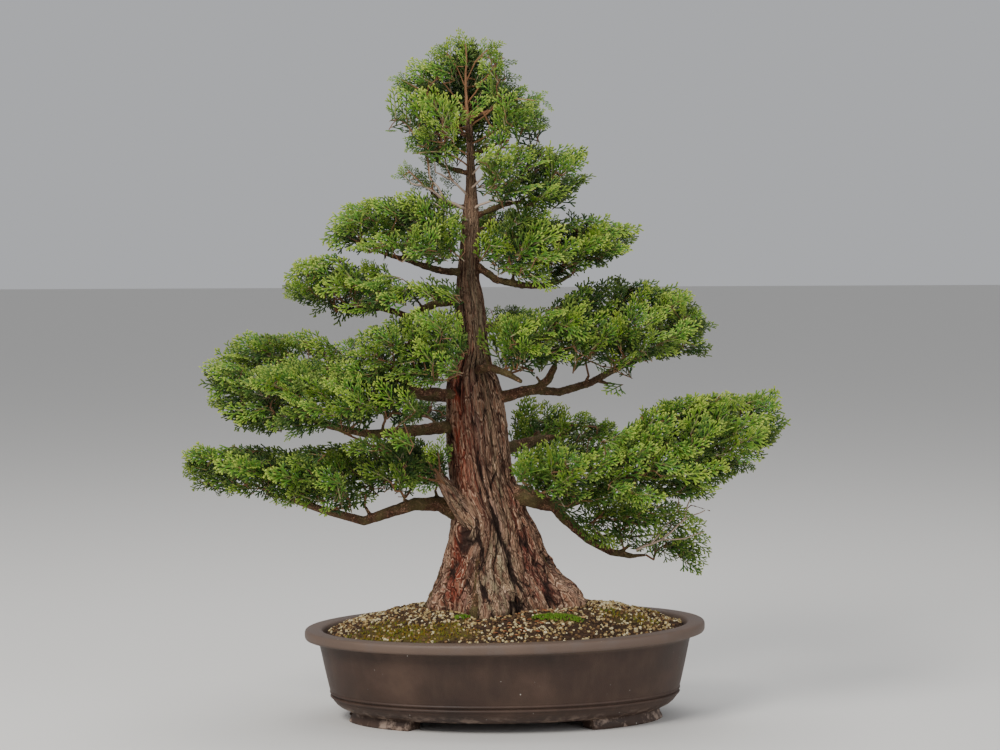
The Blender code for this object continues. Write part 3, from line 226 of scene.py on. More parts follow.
# Twigs drawn from the front: (depth in front of the stem at the foot and at the tip,
# thickness at the foot, picture points from foot to tip). The crown's carry sprays; the pale
# ones are bare.
CROWN_TWIGS = (
    (0, 1, 2.4, ((468, 132), (467, 110), (466, 78), (466, 44))),
    (0, 12, 0.9, ((468, 138), (443, 108), (424, 92), (402, 80))),
    (0, 10, 0.8, ((467, 112), (446, 86), (431, 66))),
    (0, 8, 0.7, ((466, 88), (456, 66), (446, 52))),
    (0, 18, 0.9, ((468, 156), (436, 132), (416, 116))),
    (0, 22, 0.9, ((468, 166), (444, 150), (418, 146))),
    (0, 10, 0.8, ((467, 104), (482, 82), (496, 66))),
    (0, 8, 0.7, ((466, 82), (476, 62), (487, 50))),
    (0, 14, 0.9, ((467, 130), (494, 108), (516, 99), (536, 100))),
    (0, 20, 0.9, ((468, 146), (500, 128), (530, 120))),
    (0, -18, 0.9, ((468, 128), (440, 96), (414, 90))),
    (0, -18, 0.9, ((468, 124), (492, 92), (505, 78))),
)
BARE_TWIGS = (
    (2, 22, 1.9, ((466, 209), (445, 200), (424, 186), (408, 170))),
    (12, 24, 1.3, ((445, 200), (430, 178), (428, 164))),
    (17, 26, 1.1, ((424, 186), (412, 184), (404, 176))),
    (2, 18, 1.4, ((468, 196), (452, 180), (446, 166))),
    (10, 24, 1.2, ((452, 180), (436, 172), (434, 160))),
    (2, 20, 1.5, ((470, 210), (492, 200), (514, 202))),
    (11, 24, 1.2, ((492, 200), (500, 186), (512, 180))),
    (2, 20, 1.3, ((469, 190), (484, 178), (488, 164))),
    (8, 20, 1.2, ((468, 220), (450, 214), (436, 204))),
    (2, 16, 1.2, ((470, 176), (480, 166), (492, 160))),
    (38, 46, 1.5, ((636, 550), (662, 540), (684, 520), (706, 510))),
    (44, 48, 1.0, ((684, 520), (688, 506), (692, 494))),
    (42, 46, 0.9, ((662, 540), (686, 538), (704, 532))),
    (41, 46, 1.0, ((650, 545), (664, 528), (672, 518))),
)
LEFT_LIMB = (                 # depth at the foot and the tip, radii, picture points
    12, 32, (13.0, 10.0, 8.0, 6.2, 5.2),
    ((474, 522), (463, 510), (452, 495), (442, 480), (435, 468)),
)
LIMB_STEP = 0.8
LIMB_BARK = (17.0, 300.0)     # the trunk's reach and height whose bark the limb has
LIMB_MARKS = (0.25, 0.0, 0.45)   # red, rust, pale
LIMB_NODE = "leafy_left_low_1"
LIMB_TWIGS = (
    (30, 44, 1.6, ((446, 487), (438, 474), (428, 462))),
    (32, 46, 1.5, ((444, 483), (432, 480), (418, 476))),
    (32, 46, 1.5, ((440, 476), (440, 464), (438, 452))),
    (34, 44, 1.4, ((438, 470), (426, 470), (412, 464))),
)

# Camera of the photograph, round the pot's middle
EYE_AWAY = 2480.0
EYE_HEIGHT = 491.0
EYE_SIDE = -4.0
LOOK_DOWN = 3.42
LOOK_TURN = 2.74
LOOK_ROLL = 0.26
LENS = 90.0
SENSOR = 36.0
PICTURE_MIDDLE = (500.0, 375.0)
FOCUS = 2500.0                # the lens's length in picture points


# Small tools

def srgb(red, green, blue):
    """Screen colour, 0 to 255, as the linear colour that materials take."""
    def linear(value):
        share = value / 255.0
        return share / 12.92 if share <= 0.04045 else ((share + 0.055) / 1.055) ** 2.4
    return (linear(red), linear(green), linear(blue), 1.0)


def smooth_step(low, high, value):
    share = np.clip((value - low) / (high - low), 0.0, 1.0)
    return share * share * (3.0 - 2.0 * share)


def unit_rows(rows):
    return rows / np.maximum(np.linalg.norm(rows, axis=-1, keepdims=True), 1e-9)


def squared(face, heading):
    """A face's direction, made square to the heading it goes with."""
    return unit_rows(face - heading * face.dot(heading))


def tube_faces(levels, around):
    """Faces of a closed tube whose points run round it level by level."""
    faces = []
    for low in range(0, (levels - 1) * around, around):
        for step in range(around):
            after, high = (step + 1) % around, low + around
            faces.append((low + step, low + after, high + after, high + step))
    faces.append(tuple(range(around - 1, -1, -1)))
    faces.append(tuple(range((levels - 1) * around, levels * around)))
    return faces


def rolled(turns, size, along):
    """Places round an axis, as rows of X, Y and how far along it."""
    parts = np.broadcast_arrays(np.cos(turns) * size, np.sin(turns) * size, along)
    return np.stack(parts, -1)


def own_points(mesh):
    """A mesh's corners in millimetres from the pot's middle."""
    return np.array([vert.co for vert in mesh.vertices]) / MM - MIDDLE


def move_points(mesh, points):
    """Puts a mesh's corners at points in millimetres from the pot's middle."""
    mesh.vertices.foreach_set("co", ((points + MIDDLE) * MM).ravel())
    mesh.update()


def add_piece(name, points, faces, look, replaced=(), smooth=False):
    """A piece that rides on the body, from points in millimetres from the pot's middle."""
    mesh = bpy.data.meshes.new(name)
    mesh.from_pydata((np.asarray(points) + MIDDLE) * MM, [], faces)
    piece = bpy.data.objects.new(name, mesh)
    bpy.context.scene.collection.objects.link(piece)
    finish_piece(piece, look, replaced, smooth)
    return piece


def finish_piece(piece, look, replaced=(), smooth=False):
    piece.data.materials.clear()
    piece.data.materials.append(look)
    piece.data.polygons.foreach_set("use_smooth", [smooth] * len(piece.data.polygons))
    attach(piece, "root")
    if replaced:
        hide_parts(*replaced)


def set_numbers(piece, name, values):
    made = piece.data.attributes.new(name, "FLOAT", "POINT")
    made.data.foreach_set("value", np.asarray(values, np.float32).ravel())


def set_vectors(piece, name, rows):
    made = piece.data.attributes.new(name, "FLOAT_VECTOR", "POINT")
    made.data.foreach_set("vector", np.asarray(rows, np.float32).ravel())


def activate(piece):
    bpy.ops.object.select_all(action="DESELECT")
    piece.select_set(True)
    bpy.context.view_layer.objects.active = piece


def apply_modifier(piece, kind, **settings):
    activate(piece)
    change = piece.modifiers.new(kind.lower(), kind)
    for key, value in settings.items():
        setattr(change, key, value)
    bpy.ops.object.modifier_apply(modifier=change.name)


def merged_node(node):
    """A CAD node's shape for editing, with the doubles of its loose triangles merged."""
    shape = bmesh.new()
    shape.from_mesh(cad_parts[node].data)
    bmesh.ops.remove_doubles(shape, verts=shape.verts, dist=1e-6)
    return shape


def wall_of(node):
    """A CAD node's faces for rays, in millimetres from the pot's middle."""
    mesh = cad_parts[node].data
    mesh.calc_loop_triangles()
    points = [Vector(point) for point in own_points(mesh)]
    return BVHTree.FromPolygons(points, [tuple(tri.vertices) for tri in mesh.loop_triangles])


class Heap:
    """Gathers the points and faces of many small shapes, each of one tone."""

    def __init__(self):
        self.points, self.faces, self.tones = [], [], []

    def add(self, points, faces, tone=0.0):
        start = len(self.points)
        self.faces += [tuple(start + corner for corner in face) for face in faces]
        self.points += list(points)
        self.tones += [tone] * len(points)

    def make(self, name, look):
        piece = add_piece(name, self.points, self.faces, look)
        set_numbers(piece, "tone", self.tones)


# Material tools

class Paint:
    """A material whose nodes are added one by one, and its colour so far."""

    def __init__(self, name, roughness, specular, colour=None):
        self.material = bpy.data.materials.new(name)
        self.material.use_nodes = True
        self.tree = self.material.node_tree
        self.surface = self.tree.nodes["Principled BSDF"]
        self.surface.inputs["Roughness"].default_value = roughness
        self.surface.inputs["Specular IOR Level"].default_value = specular
        self.colour = colour

    def add(self, kind, **settings):
        made = self.tree.nodes.new(kind)
        for key, value in settings.items():
            setattr(made, key, value)
        return made

    def feed(self, socket, value):
        if isinstance(value, bpy.types.NodeSocket):
            self.tree.links.new(value, socket)
        else:
            socket.default_value = value

    def place(self, stretch=(1.0, 1.0, 1.0)):
        """Object coordinates in millimetres, stretched along an axis by a number under 1."""
        coordinates = self.add("ShaderNodeTexCoord")
        return self.scaled(coordinates.outputs["Object"], [1000.0 * value for value in stretch])

    def scaled(self, vector, amounts):
        made = self.add("ShaderNodeVectorMath", operation="MULTIPLY")
        self.feed(made.inputs[0], vector)
        made.inputs[1].default_value = amounts
        return made.outputs["Vector"]

    def own(self, name, output="Fac"):
        made = self.add("ShaderNodeAttribute", attribute_name=name)
        return made.outputs[output]

    def parts(self, vector):
        made = self.add("ShaderNodeSeparateXYZ")
        self.feed(made.inputs[0], vector)
        return made.outputs

    def noise(self, vector, size, detail=3.0, roughness=0.55, distortion=0.0):
        """Cloudy pattern whose patches are about size millimetres across."""
        made = self.add("ShaderNodeTexNoise")
        self.feed(made.inputs["Vector"], vector)
        made.inputs["Scale"].default_value = 1.0 / size
        made.inputs["Detail"].default_value = detail
        made.inputs["Roughness"].default_value = roughness
        made.inputs["Distortion"].default_value = distortion
        return made.outputs["Fac"]

    def warped(self, vector, size, amount):
        """A place pushed about by noise whose patches are about size across."""
        push = self.add("ShaderNodeTexNoise")
        self.feed(push.inputs["Vector"], vector)
        push.inputs["Scale"].default_value = 1.0 / size
        made = self.add("ShaderNodeVectorMath", operation="MULTIPLY_ADD")
        self.feed(made.inputs[0], push.outputs["Color"])
        made.inputs[1].default_value = (amount, amount, amount)
        self.feed(made.inputs[2], vector)
        return made.outputs["Vector"]

    def cells(self, vector, size, output="Distance", feature="F1"):
        made = self.add("ShaderNodeTexVoronoi", feature=feature)
        self.feed(made.inputs["Vector"], vector)
        made.inputs["Scale"].default_value = 1.0 / size
        return made.outputs[output]

    def ramp(self, value, *stops):
        """Colour by value: each stop is its place, and a screen colour or a grey share."""
        made = self.add("ShaderNodeValToRGB")
        self.feed(made.inputs["Fac"], value)
        line = made.color_ramp.elements
        while len(line) < len(stops):
            line.new(0.5)
        for item, (where, tint) in zip(line, stops):
            item.position = where
            item.color = srgb(*tint) if isinstance(tint, tuple) else (tint, tint, tint, 1.0)
        return made.outputs["Color"]

    def mix(self, share, first, second):
        made = self.add("ShaderNodeMix", data_type="RGBA")
        self.feed(made.inputs["Factor"], share)
        self.feed(made.inputs[6], first)
        self.feed(made.inputs[7], second)
        return made.outputs[2]

    def over(self, share, *tint):
        """Lays a screen colour over the colour so far, as far as share says."""
        self.colour = self.mix(share, self.colour, srgb(*tint))

    def math(self, operation, first, second=0.0):
        made = self.add("ShaderNodeMath", operation=operation)
        self.feed(made.inputs[0], first)
        self.feed(made.inputs[1], second)
        return made.outputs[0]

    def times(self, first, second):
        return self.math("MULTIPLY", first, second)

    def plus(self, first, second):
        return self.math("ADD", first, second)

    def finish(self, height=None, depth=0.0, roughness=None):
        """Sets the colour, and a bump whose height of 1 stands for depth millimetres."""
        self.feed(self.surface.inputs["Base Color"], self.colour)
        if roughness is not None:
            self.feed(self.surface.inputs["Roughness"], roughness)
        if height is not None:
            made = self.add("ShaderNodeBump")
            made.inputs["Distance"].default_value = depth * MM
            self.feed(made.inputs["Height"], height)
            self.feed(self.surface.inputs["Normal"], made.outputs["Normal"])
        return self.material


# Materials

def clay_look():
    """Dark clay with clouds and streaks, a worn pale rim, scale on the feet and pale specks."""
    paint = Paint("unglazed clay", 0.62, 0.35)
    here = paint.place()
    cloud = paint.noise(here, 60.0, 4.0, 0.6)
    streak = paint.noise(paint.place((1.0, 1.0, 0.16)), 9.0, 3.0)
    grain = paint.noise(here, 1.1, 2.0)
    paint.colour = paint.ramp(
        cloud, (0.32, (51, 37, 30)), (0.52, (63, 46, 37)), (0.70, (79, 60, 49))
    )
    paint.over(paint.ramp(streak, (0.50, 0.0), (0.74, 0.16)), 90, 72, 60)
    paint.over(paint.ramp(grain, (0.56, 0.0), (0.70, 0.22)), 58, 50, 47)
    height = paint.math("DIVIDE", paint.parts(here)["Z"], 100.0)
    rim = paint.ramp(height, (0.80, 0.0), (0.845, 1.0))
    worn = paint.ramp(paint.noise(here, 26.0, 3.0), (0.50, 0.0), (0.66, 0.55))
    paint.over(paint.times(rim, 0.55), 116, 98, 86)
    paint.over(paint.times(rim, worn), 96, 84, 78)
    foot = paint.ramp(height, (0.10, 1.0), (0.20, 0.0))
    scale = paint.ramp(paint.noise(here, 12.0, 5.0, 0.7), (0.50, 0.0), (0.62, 0.75))
    paint.over(paint.times(foot, scale), 164, 142, 126)
    ragged = paint.plus(paint.cells(paint.place((1.0, 1.0, 0.8)), 7.0), paint.times(grain, 0.16))
    specks = paint.ramp(ragged, (0.0, 1.0), (0.14, 1.0), (0.17, 0.0))
    keep = paint.ramp(paint.noise(here, 17.0, 2.0), (0.54, 0.0), (0.64, 1.0))
    paint.over(paint.times(paint.times(specks, keep), 0.8), 205, 198, 188)
    relief = paint.plus(paint.times(grain, 0.5), paint.times(cloud, 0.6))
    return paint.finish(relief, 0.35, paint.plus(paint.times(cloud, 0.25), 0.42))


def off_middle(paint, pattern):
    """0 along the lines where a pattern passes its middle value, more beside them."""
    return paint.math("ABSOLUTE", paint.math("SUBTRACT", pattern, 0.47))


def bark_height(paint, here, size, fibre_highlight):
    """Paints shredding red-brown bark with tan strips, painted highlights on fibres and painted
    shade in fissures, and gives its height from 0 to 1.
    """
    strip = paint.noise(here, size, 3.0, 0.55, 0.4)
    fibre = paint.noise(here, size * 0.30, 3.0, 0.6, 0.3)
    thread = paint.noise(here, size * 0.12, 2.0, 0.6)
    paint.colour = paint.ramp(
        strip, (0.32, (108, 64, 48)), (0.46, (148, 92, 70)), (0.56, (168, 118, 92)),
        (0.68, (190, 146, 116)),
    )
    # Painted highlights on the pale fibres, up to the share given.
    paint.over(paint.ramp(fibre, (0.54, 0.0), (0.66, fibre_highlight)), 188, 150, 120)
    paint.over(paint.ramp(thread, (0.36, 0.55), (0.50, 0.0)), 74, 48, 38)
    # Painted shade in the fissures and splits.
    fissure = paint.ramp(off_middle(paint, fibre), (0.0, 1.0), (0.035, 0.85), (0.10, 0.0))
    split = paint.ramp(off_middle(paint, strip), (0.0, 1.0), (0.02, 0.9), (0.06, 0.0))
    gap = paint.math("MAXIMUM", fissure, split)
    paint.over(paint.times(gap, 0.85), 38, 23, 18)
    return paint.math("SUBTRACT", paint.plus(fibre, paint.times(thread, 0.4)), gap)


def trunk_look():
    """Reads grain: places along the wood; marks: (red, rust, pale); painted light: 0 shade deep, 1
    highlight outside.
    """
    paint = Paint("fibrous bark", 0.85, 0.25)
    grain = paint.own("grain", "Vector")
    height = bark_height(paint, paint.scaled(grain, (1.0, 1.0, 0.15)), 6.5, 0.7)
    flakes = paint.noise(paint.scaled(grain, (1.0, 1.0, 0.22)), 2.6, 3.0, 0.65)
    marks = paint.parts(paint.own("marks", "Vector"))
    red = paint.times(marks["X"], paint.ramp(flakes, (0.40, 0.9), (0.62, 0.25)))
    paint.over(paint.times(red, 0.85), 146, 72, 58)
    pale = paint.times(marks["Z"], paint.ramp(flakes, (0.40, 0.0), (0.58, 0.8)))
    paint.over(pale, 184, 170, 134)
    band = paint.noise(paint.scaled(grain, (1.0, 1.0, 0.05)), 9.0, 2.0)
    paint.over(paint.ramp(band, (0.36, 0.55), (0.48, 0.0)), 112, 58, 46)
    paint.over(paint.ramp(band, (0.54, 0.0), (0.66, 0.6)), 176, 144, 126)
    flaky = paint.warped(paint.scaled(grain, (1.0, 1.0, 0.18)), 5.0, 5.0)
    edge = paint.cells(flaky, FLAKE_SIZE, feature="DISTANCE_TO_EDGE")
    tone = paint.parts(paint.cells(flaky, FLAKE_SIZE, "Color"))["X"]
    paint.over(paint.ramp(tone, (0.0, 0.45), (0.5, 0.0)), 86, 54, 42)
    paint.over(paint.ramp(tone, (0.66, 0.0), (1.0, 0.55)), 182, 138, 108)
    paint.over(paint.times(marks["Y"], 0.68), 160, 62, 38)
    # Painted highlight: thin pale rims on the lighter flakes.
    rim = paint.times(paint.ramp(edge, (0.05, 0.0), (0.09, 1.0), (0.17, 0.0)), tone)
    paint.over(paint.times(rim, 0.85), 226, 194, 164)
    painted_light = paint.own("painted_light")
    # Painted highlight where the bark stands out on its outer strips.
    paint.over(paint.ramp(painted_light, (0.50, 0.0), (0.88, 0.6)), 194, 156, 126)
    # Painted shade in the seams between the flakes.
    paint.over(paint.ramp(edge, (0.0, 0.7), (0.025, 0.55), (0.06, 0.0)), 44, 27, 21)
    # Painted shade deep in the cracks, the hollow and the knot.
    paint.over(paint.ramp(painted_light, (0.08, 0.95), (0.34, 0.0)), 40, 25, 20)
    relief = paint.plus(height, paint.times(flakes, 0.6))
    return paint.finish(paint.plus(relief, paint.ramp(edge, (0.0, 0.0), (0.10, 0.7))), 2.0)


def bough_look():
    """Reads slim: how thin the wood is, which pales it."""
    paint = Paint("bough bark", 0.85, 0.25)
    here = paint.place()
    height = bark_height(paint, here, 6.0, 0.3)
    paint.over(paint.ramp(paint.noise(here, 18.0, 3.0), (0.38, 0.1), (0.58, 0.75)), 98, 90, 54)
    paint.over(paint.own("slim"), 140, 112, 88)
    return paint.finish(height, 1.1)


def leaf_look():
    """Reads leaf: (share of the way to the tip, chance, light that reaches it), and woody."""
    paint = Paint("scale leaves", 0.58, 0.25)
    parts = paint.parts(paint.own("leaf", "Vector"))
    tip, chance, light = parts["X"], parts["Y"], parts["Z"]
    fresh = paint.ramp(chance, (0.0, (64, 108, 26)), (0.5, (84, 126, 30)), (1.0, (112, 140, 34)))
    deep = paint.ramp(chance, (0.0, (12, 34, 16)), (1.0, (26, 52, 18)))
    paint.colour = paint.mix(paint.ramp(light, (0.04, 0.0), (0.85, 1.0)), deep, fresh)
    paint.over(paint.ramp(tip, (0.04, 0.62), (0.40, 0.0)), 30, 58, 24)
    lit = paint.times(paint.ramp(tip, (0.50, 0.0), (0.95, 1.0)), paint.plus(light, 0.15))
    paint.over(paint.times(lit, 0.8), 172, 182, 76)
    speck = paint.noise(paint.place(), 2.2, 2.0)
    paint.over(paint.ramp(speck, (0.40, 0.35), (0.52, 0.0)), 44, 76, 26)
    twig = paint.ramp(chance, (0.0, (92, 64, 44)), (0.5, (136, 98, 68)), (1.0, (182, 162, 144)))
    paint.colour = paint.mix(paint.own("woody"), paint.colour, twig)
    return paint.finish()


def soil_look():
    """Reads moss: how mossy the ground is."""
    paint = Paint("dark potting soil", 0.95, 0.2)
    here = paint.place()
    crumbs = paint.noise(here, 3.0, 4.0, 0.7)
    paint.colour = paint.ramp(
        crumbs, (0.32, (38, 28, 22)), (0.52, (66, 48, 36)), (0.70, (98, 76, 54))
    )
    paint.over(paint.ramp(paint.noise(here, 34.0, 3.0), (0.44, 0.0), (0.64, 0.6)), 44, 34, 26)
    paint.over(paint.own("moss"), 104, 94, 40)
    return paint.finish(crumbs, 1.6)


def toned_look(name, roughness, specular, *stops):
    """Reads tone, 0 to 1, as a colour between the stops."""
    paint = Paint(name, roughness, specular)
    paint.colour = paint.ramp(paint.own("tone"), *stops)
    return paint


def grit_look():
    """From dark lava crumbs up to cream pumice with pores."""
    paint = toned_look(
        "grit", 0.9, 0.25,
        (0.0, (46, 34, 27)), (0.28, (92, 66, 46)), (0.46, (150, 118, 78)),
        (0.62, (180, 156, 104)), (0.82, (208, 192, 146)), (1.0, (228, 218, 186)),
    )
    pores = paint.noise(paint.place(), 0.8, 2.0)
    paint.over(paint.ramp(pores, (0.38, 0.45), (0.52, 0.0)), 110, 92, 62)
    return paint.finish(pores, 0.5)


def moss_look():
    """From ochre, dry moss up to fresh green."""
    paint = toned_look(
        "moss", 0.9, 0.2, (0.0, (128, 92, 34)), (0.3, (134, 118, 38)), (0.6, (108, 124, 40)),
        (1.0, (98, 138, 44)),
    )
    return paint.finish(paint.noise(paint.place(), 1.2, 2.0), 0.4)


def litter_look():
    """From rusty bark up to pale dry leaf."""
    stops = (0.0, (104, 56, 34)), (0.5, (150, 86, 50)), (1.0, (176, 142, 98))
    return toned_look("dry litter", 0.8, 0.3, *stops).finish()


CLAY = clay_look()
TRUNK_BARK = trunk_look()
BOUGH_BARK = bough_look()
LEAF = leaf_look()
SOIL = soil_look()
GRIT = grit_look()
MOSS = moss_look()
LITTER = litter_look()


# Pot

def turn_profile(levels):
    """An oval shell drawn out of one ring, level by level, and closed at both ends."""
    first_length, first_height = levels[0]
    bpy.ops.mesh.primitive_circle_add(
        vertices=POT_STEPS, radius=1.0, location=(0, 0, first_height), fill_type="NOTHING"
    )
    piece = bpy.context.object
    piece.scale = (first_length, first_length - SLIM, 1.0)
    bpy.ops.object.transform_apply(location=True, rotation=True, scale=True)
    bpy.ops.object.mode_set(mode="EDIT")
    bpy.ops.mesh.select_all(action="SELECT")
    bpy.ops.mesh.edge_face_add()
    for (length, height), (past, before) in zip(levels[1:], levels):
        bpy.ops.mesh.extrude_region_move(TRANSFORM_OT_translate={"value": (0, 0, height - before)})
        bpy.ops.transform.resize(
            value=(length / past, (length - SLIM) / (past - SLIM), 1.0),
            center_override=(0, 0, height),
        )
    bpy.ops.object.mode_set(mode="OBJECT")
    return piece


def foot_turn(x, y, length):
    return math.degrees(math.atan2(abs(y) / (length - SLIM), abs(x) / length))


def draw_feet(piece):
    """Presses the four feet out of the pot's underside."""
    ring = BASE[1][0], BASE[2][0]
    middle = sum(ring) / 2
    activate(piece)
    bpy.ops.object.mode_set(mode="EDIT")
    bpy.ops.mesh.select_mode(type="FACE")
    bpy.ops.mesh.select_all(action="DESELECT")
    bpy.ops.object.mode_set(mode="OBJECT")
    for face in piece.data.polygons:
        x, y, z = face.center
        inside = abs(z - BASE[1][1]) < 0.05 and len(face.vertices) == 4
        if inside and FOOT_ARC[0] < foot_turn(x, y, middle) < FOOT_ARC[1 if x < 0 else 2]:
            face.select = True
    bpy.ops.object.mode_set(mode="EDIT")
    past_down, past_spread = 0.0, 1.0
    for down, spread in FOOT_STEPS:
        bpy.ops.mesh.extrude_region_move(TRANSFORM_OT_translate={"value": (0, 0, past_down - down)})
        share = spread / past_spread
        bpy.ops.transform.resize(value=(share, share, 1.0), center_override=(0, 0, 0))
        past_down, past_spread = down, spread
    bpy.ops.object.mode_set(mode="OBJECT")


def cut_drains(piece):
    for side in (-1, 1):
        bpy.ops.mesh.primitive_cylinder_add(
            vertices=40, radius=DRAIN_RADIUS, depth=24.0, location=(side * DRAIN_X, 0, 14.0)
        )
        drill = bpy.context.object
        apply_modifier(piece, "BOOLEAN", operation="DIFFERENCE", solver="EXACT", object=drill)
        bpy.data.objects.remove(drill)


def settle_pot(piece):
    """Leans the walls as the potter's clay did, scales to metres and moves to the pot's place."""
    points = np.array([vert.co for vert in piece.data.vertices])
    wave = 0.25 * np.sin(3.1 * np.arctan2(points[:, 1], points[:, 0]) + 0.6) * (points[:, 2] > 15)
    points[:, 2] += POT_LEAN * points[:, 0] / POT_LENGTH * points[:, 2] / POT_HEIGHT + wave * 0.6
    points[:, 2] = np.maximum(points[:, 2], 0.0)
    piece.data.vertices.foreach_set("co", ((points + MIDDLE) * MM).ravel())
    piece.data.update()


def build_pot():
    piece = turn_profile(BASE + WALL + RIM + INSIDE)
    piece.name = piece.data.name = "oval_pot"
    draw_feet(piece)
    cut_drains(piece)
    settle_pot(piece)
    rounding = {"width": 0.6 * MM, "segments": 2, "limit_method": "ANGLE", "angle_limit": 1.0}
    apply_modifier(piece, "BEVEL", **rounding)
    finish_piece(piece, CLAY, ("pot",), smooth=True)
    activate(piece)
    bpy.ops.object.shade_smooth_by_angle(angle=math.radians(50))


# Soil, grit and moss

def soil_top(wall, x, y):
    """Height of the solid's soil at a place, or None beside it and over the trunk's hole."""
    hit = wall.ray_cast(Vector((x, y, 200.0)), Vector((0, 0, -1)))[0]
    return hit.z if hit and hit.z > SOIL_LEAST else None


def crumbled(height, x, y):
    """A height of the solid's soil with the unevenness of loose ground."""
    rough = noise.fractal(Vector((x / 26.0, y / 26.0, 3.0)), 1.0, 2.0, 4) * 2.2
    return height + rough - 0.6


def moss_share(x, y):
    """How mossy a place is: an ochre carpet at the front left, green cushions at the front."""
    share = 0.0
    for middle_x, middle_y, long, wide, amount in MOSS_BEDS:
        away = math.hypot((x - middle_x) / long, (y - middle_y) / wide)
        rough = 0.35 * noise.noise(Vector((x / 14.0, y / 14.0, middle_x)))
        share = max(share, amount * float(smooth_step(1.15, 0.55, away + rough)))
    return share


def build_soil(wall):
    """The crumbly top drawn on the solid's own height, over a plain closed underside."""
    points = []
    for level in range(SOIL_RINGS + 1):
        share = 1.0 - level / SOIL_RINGS * SOIL_EDGE
        inner = min(share, SOIL_EDGE)
        edge_drop = 4.0 * float(smooth_step(SOIL_EDGE, 1.0, share))
        for step in range(SOIL_STEPS):
            turn = 2 * math.pi * step / SOIL_STEPS
            x = share * SOIL_REACH * math.cos(turn)
            y = share * (SOIL_REACH - SLIM) * math.sin(turn)
            over_x, over_y = x * inner / share, y * inner / share
            height = soil_top(wall, over_x, over_y)
            if height is None:
                height = HOLE_TOP
            points.append((x, y, crumbled(height, over_x, over_y) - edge_drop))
    points = [(x * 0.9, y * 0.88, SOIL_UNDER) for x, y, _ in points[:SOIL_STEPS]] + points
    faces = tube_faces(SOIL_RINGS + 2, SOIL_STEPS)
    piece = add_piece("soil_bed", points, faces, SOIL, ("soil",), smooth=True)
    set_numbers(piece, "moss", [0.6 * moss_share(x, y) for x, y, _ in points])


def pebble_shapes(count, chance):
    """Crushed grit: a few six-sided stones, each pushed out of square its own way."""
    shapes = []
    for _ in range(count):
        bpy.ops.mesh.primitive_cube_add(size=1.3)
        stone = bpy.context.object
        points = np.array([vert.co for vert in stone.data.vertices])
        faces = [tuple(face.vertices) for face in stone.data.polygons]
        bpy.data.objects.remove(stone)
        squash = np.array([chance.uniform(*span) for span in PEBBLE_SPANS])
        dents = np.array([[chance.uniform(-0.2, 0.16) for _ in range(3)] for _ in points])
        shapes.append(((points + dents) * squash, faces))
    return shapes


def turned(points, chance, flat):
    """Points turned about the vertical, and tipped over as far as flat allows."""
    spin, tip = chance.uniform(0, 2 * math.pi), chance.uniform(-flat, flat)
    about_z = np.array((
        (math.cos(spin), -math.sin(spin), 0), (math.sin(spin), math.cos(spin), 0), (0, 0, 1)
    ))
    about_x = np.array((
        (1, 0, 0), (0, math.cos(tip), -math.sin(tip)), (0, math.sin(tip), math.cos(tip))
    ))
    return points @ (about_z @ about_x).T


def open_ground(wall, chance):
    """A random place on the bare soil: (x, y, height)."""
    while True:
        turn, share = chance.uniform(0, 2 * math.pi), math.sqrt(chance.random()) * SOIL_EDGE
        x = share * (SOIL_REACH - RIM_GAP) * math.cos(turn)
        y = share * (SOIL_REACH - SLIM - RIM_GAP) * math.sin(turn)
        height = soil_top(wall, x, y)
        if height is not None:
            return x, y, crumbled(height, x, y)


def build_grit(wall):
    chance = random.Random(5)
    shapes = pebble_shapes(8, chance)
    heap = Heap()
    for _ in range(GRIT_COUNT):
        x, y, height = open_ground(wall, chance)
        patch = noise.noise(Vector((x / 32.0, y / 32.0, 9.0)))
        cream = chance.random() < 0.46 + 0.35 * patch
        if moss_share(x, y) > 0.45 and chance.random() < 0.5:
            continue
        size = chance.uniform(1.0, 2.0) if cream else chance.uniform(0.8, 1.9)
        tone = chance.uniform(0.5, 0.95) if cream else chance.uniform(0.0, 0.46)
        points, faces = chance.choice(shapes)
        points = turned(points * size, chance, 1.2) + np.array((x, y, height + size * 0.25))
        heap.add(points, faces, tone)
    heap.make("soil_grit", GRIT)


def tuft_shape(chance):
    """A moss star: five leaning three-sided blades."""
    points, faces = [], []
    for blade in range(5):
        turn = 2 * math.pi * (blade + chance.uniform(-0.2, 0.2)) / 5
        lean = chance.uniform(0.2, 0.75) if blade else 0.0
        side = np.array((-math.sin(turn), math.cos(turn), 0.0)) * 0.34
        out = np.array((math.cos(turn), math.sin(turn), 0.0))
        tip = out * lean * 1.6 + np.array((0, 0, chance.uniform(1.3, 2.2)))
        start = len(points)
        points += [side, -side, out * 0.5, tip]
        for corners in ((0, 1, 3), (1, 2, 3), (2, 0, 3), (0, 2, 1)):
            faces.append([start + corner for corner in corners])
    return np.array(points), faces


def build_moss(wall):
    chance = random.Random(17)
    shapes = [tuft_shape(chance) for _ in range(6)]
    heap = Heap()
    for index, (middle_x, middle_y, long, wide, amount) in enumerate(MOSS_BEDS):
        green = index in GREEN_BEDS
        for _ in range(int(long * wide * math.pi * (0.62 if green else 0.16) * amount)):
            turn, share = chance.uniform(0, 2 * math.pi), math.sqrt(chance.random()) * 1.1
            x = middle_x + share * long * math.cos(turn)
            y = middle_y + share * wide * math.sin(turn)
            height = soil_top(wall, x, y)
            if height is None or moss_share(x, y) < chance.uniform(0.2, 0.7):
                continue
            swell = 2.6 * max(0.0, 1.0 - share * share) if green else 0.4
            size = chance.uniform(0.8, 1.5) * (1.1 if green else 0.9)
            points, faces = chance.choice(shapes)
            points = turned(points * size, chance, 0.3) + np.array((x, y, height + swell))
            tone = chance.uniform(0.75, 1.0) if green else chance.uniform(0.0, 0.62)
            heap.add(points, faces, tone)
    heap.make("moss_tufts", MOSS)


